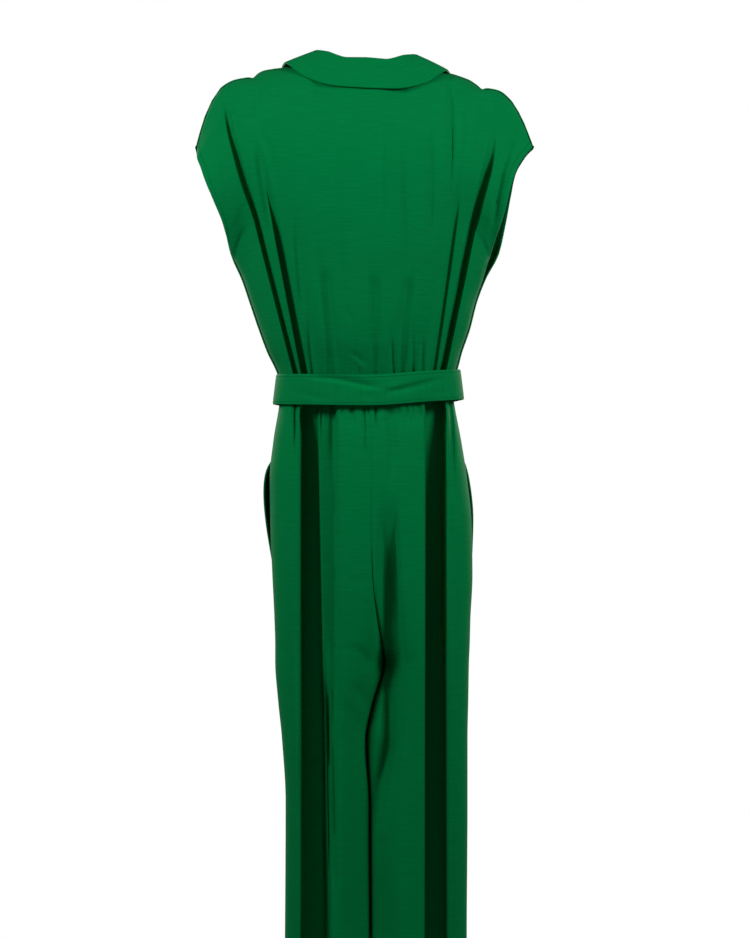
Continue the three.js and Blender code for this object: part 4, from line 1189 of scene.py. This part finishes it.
@dataclass
class TieBelt:
    """The belt's ring, its half knot at the front and its two free ends."""

    height: float = 40.5
    flare: float = 5.0
    left: float = 121.0
    right: float = 125.0
    back: float = 93.0
    front: float = 97.0
    pinch: float = 0.22  # how much narrower it gets at the knot
    pinch_from: float = 150.0  # the turn where that begins
    columns: int = 380
    rows: int = 22
    line: Table = Table(
        "turn z",
        (-180, -439), (-90, -422), (-45, -426), (0, -432.7), (45, -430.7), (90, -428.7),
        (180, -439),
    )
    stitch_in: float = 3.4
    groove: float = 0.45  # depth of the stitches' grooves
    rounding: float = 0.7  # how far the edges turn in
    edge_wide: float = 1.1  # half the width of both
    knot_x: float = 8.0
    knot_z: float = -440.0
    knot_wide: float = 40.0
    knot_tall: float = 46.0
    knot_deep: float = 22.0
    knot_lean: float = 3.0
    knot_girth: float = 110.0  # size of the knot's cloth, round it and up it, for its weave
    knot_cut: float = 50.0
    knot_strip: float = 60.0  # length of the belt's strip that is in the knot
    tail_wide: float = 44.0
    tail_rows: int = 110
    tail_columns: int = 23

    def creases(self) -> list[Crease]:
        """The soft slanting creases on the back of the belt."""
        return [
            Crease(((88, -414), (40, -419), (-2, -428), (-40, -436)), 3.4, 2.2, 6.0, 0.3, 0.4),
            Crease(((-20, -437), (-60, -427), (-112, -413)), 2.6, 5.0, 2.2, 0.3, 0.4),
            Crease(((30, -437), (-10, -433), (-70, -420)), -1.0, 5.0, 5.0, 0.3, 0.4),
            Crease(((110, -427), (70, -441), (40, -446)), 0.9, 5.0, 5.0),
            Crease(((-84, -440), (-104, -434), (-118, -431)), 0.8, 5.0, 4.0),
        ]

    def point(self, turn: np.ndarray, up: np.ndarray, out: float = 0.0) -> np.ndarray:
        """Points of the ring.

        Args:
            turn: degrees from the middle of the back to the wearer's left.
            up: from 0 at the lower edge to 1 at the upper one.
            out: an extra stand-off.

        Returns:
            One point for each turn.
        """
        angle = np.radians(turn)
        flare = self.flare * (1 - up)
        reach = np.where(turn > 0, self.left, self.right)
        side = mix(reach, (self.left + self.right) / 2, np.cos(angle) ** 2) + flare + out
        depth = np.where(np.abs(turn) < 90, self.back, self.front) + flare * 0.5 + out
        pinch = self.pinch * smooth((np.abs(turn) - self.pinch_from) / (180 - self.pinch_from))
        rise = (up - 0.5) * self.height * (1 - pinch)
        x = side * np.sin(angle) - 1
        return np.stack((x, depth * np.cos(angle), self.line["z"](turn) + rise), axis=-1)

    def ring(self) -> np.ndarray:
        """The outer face of the ring, with its creases and the grooves of its two rows of stitches."""
        turns = np.arange(self.columns) * 360 / self.columns - 180
        ups = np.linspace(0, 1, self.rows)
        turn, up = np.meshgrid(turns, ups)
        grid = self.point(turn, up, DOUBLE)
        behind = smooth(np.cos(np.radians(turn)) * 3)
        press = creased(self.creases(), grid[..., 0], grid[..., 2]) * behind
        for edge in (up, 1 - up):
            away = edge * self.height
            press += self.groove * np.exp(-(((away - self.stitch_in) / self.edge_wide) ** 2))
            press += self.rounding * np.exp(-((away / self.edge_wide) ** 2))
        return grid - grid_normals(grid, -1, closed=True) * press[..., None]

    def knot(self) -> bpy.types.Object:
        """A rounded roll of belt cloth with creases drawn round it."""
        rings, around = 40, 72
        back = float(self.point(np.array(180.0), np.array(0.5), DOUBLE)[1]) - SEAM
        lift = -np.cos(np.linspace(0, math.pi, rings + 1))[1:-1, None]
        turn = np.linspace(0, 2 * math.pi, around, endpoint=False)[None, :]
        bulge = np.sqrt(np.maximum(0, 1 - lift**4))
        crease = 1 - 0.1 * np.cos(3 * turn + 2 * lift) - 0.035 * np.cos(9 * turn - 7 * lift) * bulge
        x = self.knot_x + 0.5 * self.knot_wide * bulge * crease * np.cos(turn) + self.knot_lean * lift
        y = back - 0.5 * self.knot_deep * (1 + bulge * crease * np.sin(turn))
        z = np.broadcast_to(self.knot_z + 0.5 * self.knot_tall * lift, x.shape)
        grid = np.stack((x, np.minimum(y, back), z), axis=-1)
        around_it = np.broadcast_to(turn / (2 * math.pi) * self.knot_girth, x.shape)
        flat = np.stack((around_it, np.broadcast_to((lift + 1) / 2 * self.knot_cut, x.shape)), axis=-1)
        middle_y = back - 0.5 * self.knot_deep
        tips = [
            (self.knot_x + end * self.knot_lean, middle_y, self.knot_z + end * 0.5 * self.knot_tall)
            for end in (-1, 1)
        ]
        points = np.concatenate((grid.reshape(-1, 3), np.array(tips)))
        number = np.arange((rings - 1) * around).reshape(rings - 1, around)
        beside = np.roll(number, -1, axis=1)
        faces = np.stack((number[:-1], beside[:-1], beside[1:], number[1:]), axis=-1).reshape(-1, 4).tolist()
        foot, head = len(points) - 2, len(points) - 1
        faces += [[foot, int(b), int(a)] for a, b in zip(number[0], beside[0])]
        faces += [[head, int(a), int(b)] for a, b in zip(number[-1], beside[-1])]
        ends = [(self.knot_girth / 2, up) for up in (0.0, self.knot_cut)]
        flat = np.concatenate((flat.reshape(-1, 2), ends))
        return make_piece("belt_knot_cloth", points, faces, flat)

    def tail(self, x: float, spread: float, proud: float, length: float, wave: float) -> np.ndarray:
        """The outer face of a free end, hanging from under the knot.

        Args:
            x: where its middle starts across.
            spread: how far it drifts sideways.
            proud: how far it stands in front of the other.
            length: how long it is.
            wave: how far it sways.

        Returns:
            The grid of points.
        """
        rows, columns = np.linspace(0, 1, self.tail_rows), np.linspace(-0.5, 0.5, self.tail_columns)
        down, share = np.meshgrid(rows, columns, indexing="ij")
        top = self.knot_z - 0.5 * self.knot_tall - SEAM
        front = float(self.point(np.array(180.0), np.array(0.5), DOUBLE)[1]) - 0.5 * self.knot_deep
        wide = mix(0.5, 1, smooth(down * 5)) * self.tail_wide
        cup = 4 * np.cos(2 * math.pi * share) * (1 - 0.6 * down)
        sway = wave * np.sin(2.6 * math.pi * down) * down
        ripple = 0.7 * np.sin(3 * math.pi * share + 1.5 + 9 * down) * smooth(1 - down * 2.2)
        y = front - 3 - proud - cup + sway + ripple
        return np.stack((x + spread * smooth(down * 1.6) + share * wide, y, top - length * down), axis=-1)

    def build(self, cloth: bpy.types.Material) -> dict[str, np.ndarray]:
        """Makes the ring, the knot and the ends.

        Args:
            cloth: their finish.

        Returns:
            The outer grids, by name.
        """
        knot = dress(self.knot(), cloth, "belt_knot", None)
        ring = self.ring()
        band = make_wall("belt_band_cloth", ring, DOUBLE, -1, closed=True)
        dress(band, cloth, "belt_band", None)
        grids = {"ring": ring}
        ends = {
            "belt_tail_left": self.tail(20, 18, 5, 345, -4),
            "belt_tail_right": self.tail(-4, -15, 0, 378, 4),
        }
        top = self.knot_z - 0.5 * self.knot_tall - SEAM

        def settle(points: np.ndarray) -> np.ndarray:
            points = points.copy()
            points[0, :, 2] = top
            return points

        for name, grid in ends.items():
            piece = make_wall(f"{name}_cloth", grid, DOUBLE, -1, settle=settle)
            length = float(np.ptp(grid[..., 2]))
            cut = Cut(self.tail_wide, length, 1.0, "hung", ("belt_knot_cloth",))
            dress(piece, cloth, name, cut)
            grids[name] = grid
        return grids


@dataclass
class Collar:
    """The fold-over collar: a stand, a soft roll and a fall, from one front round the neck to the other."""

    bodice: Bodice
    sizes: Table = Table(
        "at fold_x fold_y fold_z edge_x edge_y edge_z",
        (0, 0, 50, 13, 0, 81, -32),
        (0.14, 25, 45, 14, 41, 75, -28),
        (0.3, 52, 28, 25, 80, 54.5, -13),
        (0.45, 65, 3, 29, 110, 19, 13),
        (0.62, 67, -30, 22, 116, -27, 12),
        (0.8, 63, -77, -10, 112, -78, -26),
        (1, 53, -113, -66, 98, -113, -88),
    )
    end: float = 0.2  # how far down the fronts it ends, as a share of their height
    tilt: float = 0.09  # how much lower it lies on the wearer's right, as a share of the way across
    roll: float = 4.6  # radius of its fold
    belly: float = 1.6  # how far its fall bulges
    stations: int = 288  # round the neck
    stand_rows: int = 7
    roll_rows: int = 13
    fall_rows: int = 18
    lift: float = 0.8  # clearances from the neck's seam and from the fronts
    back_clear: float = 1.2
    front_clear: float = 3.9
    forward: float = 2.4

    def seam(self, at: float) -> np.ndarray:
        """A point of the neck's seam, from the right front (-1) round the back (0) to the left front (1)."""
        side = -1.0 if at < 0 else 1.0
        s = abs(at)
        if s < 0.5:
            x = NECK_HALF * math.sin(s * math.pi)
            y = NECK_BACK_Y * math.cos(s * math.pi)
            z = mix(float(self.bodice.shoulder["z"](side * x)), NECK_BACK_Z, 1 - (x / NECK_HALF) ** 2)
            return np.array((side * (x - self.back_clear), y - self.lift, z + self.lift))
        h = 1 - self.end * ((s - 0.5) / 0.5) ** 2
        share = self.bodice.wrap_share(Side(int(side)), h)
        point = self.bodice.point(Face.FRONT, np.array([share]), h, LAP if side < 0 else 0.0)[0]
        clear = mix(self.back_clear, self.front_clear, float(smooth((s - 0.5) / 0.1)))
        return point + np.array((-clear * side, -self.forward, self.lift))

    def place(self, name: str, at: float) -> np.ndarray:
        """A point of the collar's fold or of its edge."""
        side = -1.0 if at < 0 else 1.0
        s = abs(at)
        lap = LAP * float(smooth((s - 0.5) / 0.3)) if side < 0 else 0.0
        x, y, z = (float(self.sizes[f"{name}_{axis}"](s)) for axis in "xyz")
        return np.array((side * x, y - lap, z + self.tilt * min(0.0, side * x)))

    def section(self, at: float) -> np.ndarray:
        """A section from the seam up to the roll of the fold and down to the free edge."""
        seam, fold, edge = self.seam(at), self.place("fold", at), self.place("edge", at)
        up = fold - (seam + edge) / 2
        up /= np.linalg.norm(up)
        out = edge - seam
        out -= up * (out @ up)
        out /= np.linalg.norm(out)
        centre = fold - self.roll * up
        turns = np.radians(np.linspace(180, 0, self.roll_rows))[:, None]
        roll = centre + self.roll * (out * np.cos(turns) + up * np.sin(turns))
        stand = mix(seam, roll[0], np.linspace(0, 1, self.stand_rows + 1)[:-1, None])
        t = np.linspace(0, 1, self.fall_rows + 1)[1:, None]
        belly = self.belly * np.sin(math.pi * t) * (0.6 + 0.4 * math.sin(9 * at + 1))
        normal = out * 0.5 + up * 0.86
        fall = mix(roll[-1], edge, t) + normal * belly
        return np.concatenate((stand, roll, fall))

    def build(self, cloth: bpy.types.Material) -> None:
        """Makes the collar.

        Args:
            cloth: its finish.
        """
        sections = np.array([self.section(at) for at in np.linspace(-1, 1, self.stations + 1)])
        grid = np.transpose(sections, (1, 0, 2))
        away = arc_map(grid)[..., 1]
        grid = grooved(grid, 1, away[-1:] - away, 1.4, 0.35)
        piece = make_wall("collar_cloth_fold", grid, DOUBLE, 1)
        dress(piece, cloth, "collar", Cut(560, 92, 0.85, "folded", ("bodice_back_cloth",)))


@dataclass
class StitchRow:
    """Rows of small stitches that a node tree lays along lines."""

    thread: bpy.types.Material
    pitch: float = 3.0  # from one stitch to the next
    length: float = 2.3
    thick: float = 0.42  # half of the thread's thickness as it lies on the cloth

    def __post_init__(self) -> None:
        """Builds the tree."""
        self.tree = self.make_tree()

    def make_tree(self) -> bpy.types.NodeTree:
        """The tree: a line cut into even steps, with a flattened stitch turned along it at each one."""
        tree = bpy.data.node_groups.new("row_of_stitches", "GeometryNodeTree")
        tree.interface.new_socket("Line", in_out="INPUT", socket_type="NodeSocketGeometry")
        for name in ("Pitch", "Stitch length", "Thread radius"):
            tree.interface.new_socket(name, in_out="INPUT", socket_type="NodeSocketFloat")
        tree.interface.new_socket("Thread", in_out="INPUT", socket_type="NodeSocketMaterial")
        tree.interface.new_socket("Stitches", in_out="OUTPUT", socket_type="NodeSocketGeometry")
        given = add_node(tree, "NodeGroupInput").outputs
        line = add_node(tree, "GeometryNodeMeshToCurve", {"Mesh": given["Line"]})
        steps = {"Curve": line.outputs[0], "Length": given["Pitch"]}
        even = add_node(tree, "GeometryNodeResampleCurve", steps, mode="LENGTH")
        tangent = add_node(tree, "GeometryNodeInputTangent")
        turn = add_node(tree, "FunctionNodeAlignRotationToVector", {"Vector": tangent.outputs[0]}, axis="X")
        bead = add_node(tree, "GeometryNodeMeshUVSphere", {"Segments": 6, "Rings": 4, "Radius": 1.0})
        half = add_node(tree, "ShaderNodeMath", {0: given["Stitch length"], 1: 0.5}, operation="MULTIPLY")
        shape = {"X": half.outputs[0], "Y": given["Thread radius"], "Z": given["Thread radius"]}
        size = add_node(tree, "ShaderNodeCombineXYZ", shape)
        laid = add_node(
            tree,
            "GeometryNodeInstanceOnPoints",
            {
                "Points": even.outputs[0],
                "Instance": bead.outputs[0],
                "Rotation": turn.outputs[0],
                "Scale": size.outputs[0],
            },
        )
        real = add_node(tree, "GeometryNodeRealizeInstances", {"Geometry": laid.outputs[0]})
        dyed = {"Geometry": real.outputs[0], "Material": given["Thread"]}
        done = add_node(tree, "GeometryNodeSetMaterial", dyed)
        add_node(tree, "NodeGroupOutput", {"Stitches": done.outputs[0]})
        return tree

    def sew(self, name: str, lines: Sequence[np.ndarray], closed: bool = False) -> bpy.types.Object:
        """Lays stitches along lines of points and keeps them as one plain mesh.

        Args:
            name: the piece's name.
            lines: the lines, in millimetres, on the cloth's outer face.
            closed: whether each line comes back to its start.

        Returns:
            The piece.
        """
        points: list[list[float]] = []
        edges: list[tuple[int, int]] = []
        for line in lines:
            start = len(points)
            points.extend((line * MM).tolist())
            edges.extend((start + i, start + i + 1) for i in range(len(line) - 1))
            if closed:
                edges.append((start + len(line) - 1, start))
        mesh = bpy.data.meshes.new(f"{name}_line")
        mesh.from_pydata(points, edges, [])
        guide = bpy.data.objects.new(f"{name}_line", mesh)
        bpy.context.scene.collection.objects.link(guide)
        modifier = guide.modifiers.new("stitches", "NODES")
        modifier.node_group = self.tree
        values = {
            "Pitch": self.pitch * MM,
            "Stitch length": self.length * MM,
            "Thread radius": self.thick * MM,
            "Thread": self.thread,
        }
        for item in self.tree.interface.items_tree:
            if item.in_out == "INPUT" and item.name in values:
                modifier[item.identifier] = values[item.name]
        seen = guide.evaluated_get(bpy.context.evaluated_depsgraph_get())
        made = bpy.data.meshes.new_from_object(seen)
        made.name = name
        bpy.data.objects.remove(guide)
        piece = bpy.data.objects.new(name, made)
        bpy.context.scene.collection.objects.link(piece)
        made.shade_smooth()
        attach(piece, "root")
        log.info("%s: %d points", name, len(made.vertices))
        return piece


def offset_line(
    grid: np.ndarray, facing: int, away: np.ndarray, at: float, axis: int = 1, lift: float = 0.1
) -> np.ndarray:
    """The line on a grid where a distance reaches a value.

    Args:
        grid: the outer face.
        facing: which way it faces.
        away: the distance of each point from an edge.
        at: the distance that the line keeps.
        axis: 1 for a line that runs up the rows, 0 for one that runs across the columns.
        lift: how far it stands off the cloth.

    Returns:
        The line's points.
    """
    lifted = grid + lift * grid_normals(grid, facing)
    if axis == 0:
        lifted, away = np.swapaxes(lifted, 0, 1), away.T
    line = []
    for points, distance in zip(lifted, away):
        order = np.argsort(distance)
        line.append([np.interp(at, distance[order], points[order, i]) for i in range(3)])
    return np.array(line)


@dataclass
class Seams:
    """The rows of stitches that show: on the belt and its ends, round the armholes and the hems."""

    stitches: StitchRow
    belt: TieBelt
    belt_lift: float = 0.05  # of the stitches off the belt's cloth

    def build(
        self, bodice: dict[str, np.ndarray], legs: dict[str, np.ndarray], belt: dict[str, np.ndarray]
    ) -> None:
        """Sews them all.

        Args:
            bodice: the bodice's outer grids.
            legs: the trousers' outer grids.
            belt: the belt's outer grids.
        """
        inset = self.belt.stitch_in
        lifted = belt["ring"] + self.belt_lift * grid_normals(belt["ring"], -1, closed=True)
        rise = np.linspace(0, self.belt.height, self.belt.rows)
        columns = range(self.belt.columns)
        lines = []
        for at in (inset, self.belt.height - inset):
            line = [[np.interp(at, rise, lifted[:, c, i]) for i in range(3)] for c in columns]
            lines.append(np.array(line))
        self.stitches.sew("belt_topstitching", lines, closed=True)
        lines = []
        for name in ("belt_tail_left", "belt_tail_right"):
            across = arc_map(belt[name])[..., 0]
            for away in (across - across[:, :1], across[:, -1:] - across):
                lines.append(offset_line(belt[name], -1, away, inset))
        self.stitches.sew("belt_end_topstitching", lines)
        lines = []
        for name, grid in legs.items():
            facing = (1 if "back" in name else -1) * (1 if "left" in name else -1)
            lines.append(offset_line(grid, facing, grid[..., 2] - HEM_Z, HEM_STITCH, axis=0)[2:-2])
        self.stitches.sew("hem_stitching", lines)
        sleeve = bodice["back"][:, 0, 2] > ARMHOLE_Z
        across = {name: arc_map(grid)[..., 0] for name, grid in bodice.items()}
        rows = [
            ("back", -1, across["back"] - across["back"][:, :1]),
            ("back", -1, across["back"][:, -1:] - across["back"]),
            ("front_left", 1, across["front_left"] - across["front_left"][:, :1]),
            ("front_right", -1, across["front_right"] - across["front_right"][:, :1]),
        ]
        lines = []
        for name, facing, away in rows:
            lines.append(offset_line(bodice[name], facing, away, ARMHOLE_STITCH)[sleeve])
        self.stitches.sew("armhole_stitching", lines)


@dataclass
class Studio:
    """The camera at the photograph's angle, soft lights, and a plain pale floor."""

    distance: float = 3.0
    centre_x: float = -0.012
    centre_z: float = -0.537
    field_height: float = 1.2757
    sensor: float = 36.0
    floor_radius: float = 0.26
    floor_gap: float = 0.03
    power: float = 20.0  # of each box, in watts
    key_place: tuple[float, float, float] = (1.35, 0.95, 0.42)  # of the left box; the right one mirrors it
    key_at: tuple[float, float, float] = (0.0, 0.0, -0.2)
    key_size: float = 0.5
    front_place: tuple[float, float, float] = (1.1, -1.9, 0.2)
    front_at: tuple[float, float, float] = (0.0, 0.0, -0.4)
    front_size: float = 0.7
    world_glow: float = 0.15

    def light(self, name: str, place: Sequence[float], at: Sequence[float], size: float) -> None:
        """Adds a square soft box.

        Args:
            name: its name.
            place: where it stands.
            at: the point that it faces.
            size: its width.
        """
        data = bpy.data.lights.new(name, "AREA")
        data.shape = "RECTANGLE"
        data.size = data.size_y = size
        data.energy = self.power
        lamp = bpy.data.objects.new(name, data)
        lamp.location = place
        lamp.rotation_euler = (Vector(at) - Vector(place)).to_track_quat("-Z", "Y").to_euler()
        bpy.context.scene.collection.objects.link(lamp)

    def build(self) -> None:
        """Makes the camera, the lights, the surroundings and the floor."""
        camera = bpy.data.cameras.new("camera")
        camera.sensor_width = self.sensor
        camera.lens = self.sensor * self.distance / self.field_height
        eye = bpy.data.objects.new("camera", camera)
        eye.location = (self.centre_x, self.distance, self.centre_z)
        eye.rotation_euler = (math.radians(90), 0.0, math.radians(180))
        bpy.context.scene.collection.objects.link(eye)
        bpy.context.scene.camera = eye
        for kind, (x, y, z), at, size in (
            ("", self.key_place, self.key_at, self.key_size),
            ("front_", self.front_place, self.front_at, self.front_size),
        ):
            for side in Side:
                self.light(f"{kind}{side.name.lower()}_box", (side * x, y, z), at, size)
        self.surroundings()
        self.floor()

    def surroundings(self) -> None:
        """A pale glow all round, which the camera sees as plain white."""
        world = bpy.data.worlds.new("pale studio")
        world.use_nodes = True
        tree = world.node_tree
        tree.nodes.clear()
        seen = add_node(tree, "ShaderNodeLightPath").outputs["Is Camera Ray"]
        white = srgb("ffffff")
        glow = add_node(tree, "ShaderNodeBackground", {"Color": white, "Strength": self.world_glow})
        plain = add_node(tree, "ShaderNodeBackground", {"Color": white, "Strength": 1.0})
        both = add_node(tree, "ShaderNodeMixShader", {0: seen, 1: glow.outputs[0], 2: plain.outputs[0]})
        add_node(tree, "ShaderNodeOutputWorld", {"Surface": both.outputs[0]})
        bpy.context.scene.world = world
        bpy.context.scene.view_settings.view_transform = "Standard"

    def floor(self) -> None:
        """A round pale floor, just below the hem."""
        around = 96
        turn = np.linspace(0, 2 * math.pi, around, endpoint=False)
        rim = np.stack((np.cos(turn), np.sin(turn), np.zeros(around)), axis=-1) * self.floor_radius / MM
        rim[:, 2] = HEM_Z - self.floor_gap / MM
        piece = make_piece("studio_floor", rim, [list(range(around))])
        material = bare_material("matt pale floor")
        tree = material.node_tree
        place = add_node(tree, "ShaderNodeTexCoord").outputs["Object"]
        grain = add_node(tree, "ShaderNodeTexNoise", {"Vector": place, "Scale": 60.0, "Detail": 3.0})
        bump = add_node(tree, "ShaderNodeBump", {"Height": grain.outputs["Fac"], "Strength": 0.05})
        matt = {"Base Color": srgb("eeeeec"), "Roughness": 0.8, "Normal": bump.outputs[0]}
        shader = add_node(tree, "ShaderNodeBsdfPrincipled", matt)
        add_node(tree, "ShaderNodeOutputMaterial", {"Surface": shader.outputs[0]})
        piece.data.materials.append(material)


def main() -> None:
    """Builds the garment piece by piece, then the studio."""
    logging.basicConfig(level=logging.INFO, format="%(name)s %(message)s")
    green, deep = "007a40", "00733b"
    body_cloth = CrepeWeave("slubbed viscose crepe", green, deep).material()
    belt_cloth = CrepeWeave("slubbed viscose crepe, cut crosswise", green, deep, Grain.ALONG).material()
    bag_cloth = CrepeWeave("plain viscose pocketing", "00602f", "005a2c", sheen=0.0).material()
    bodice = Bodice()
    bodice_grids = bodice.build(body_cloth)
    leg_grids = Trousers().build(body_cloth, bag_cloth)
    belt = TieBelt()
    belt_grids = belt.build(belt_cloth)
    Collar(bodice).build(body_cloth)
    Seams(StitchRow(SewingThread().material()), belt).build(bodice_grids, leg_grids, belt_grids)
    Studio().build()


if __name__ == "__main__":
    main()
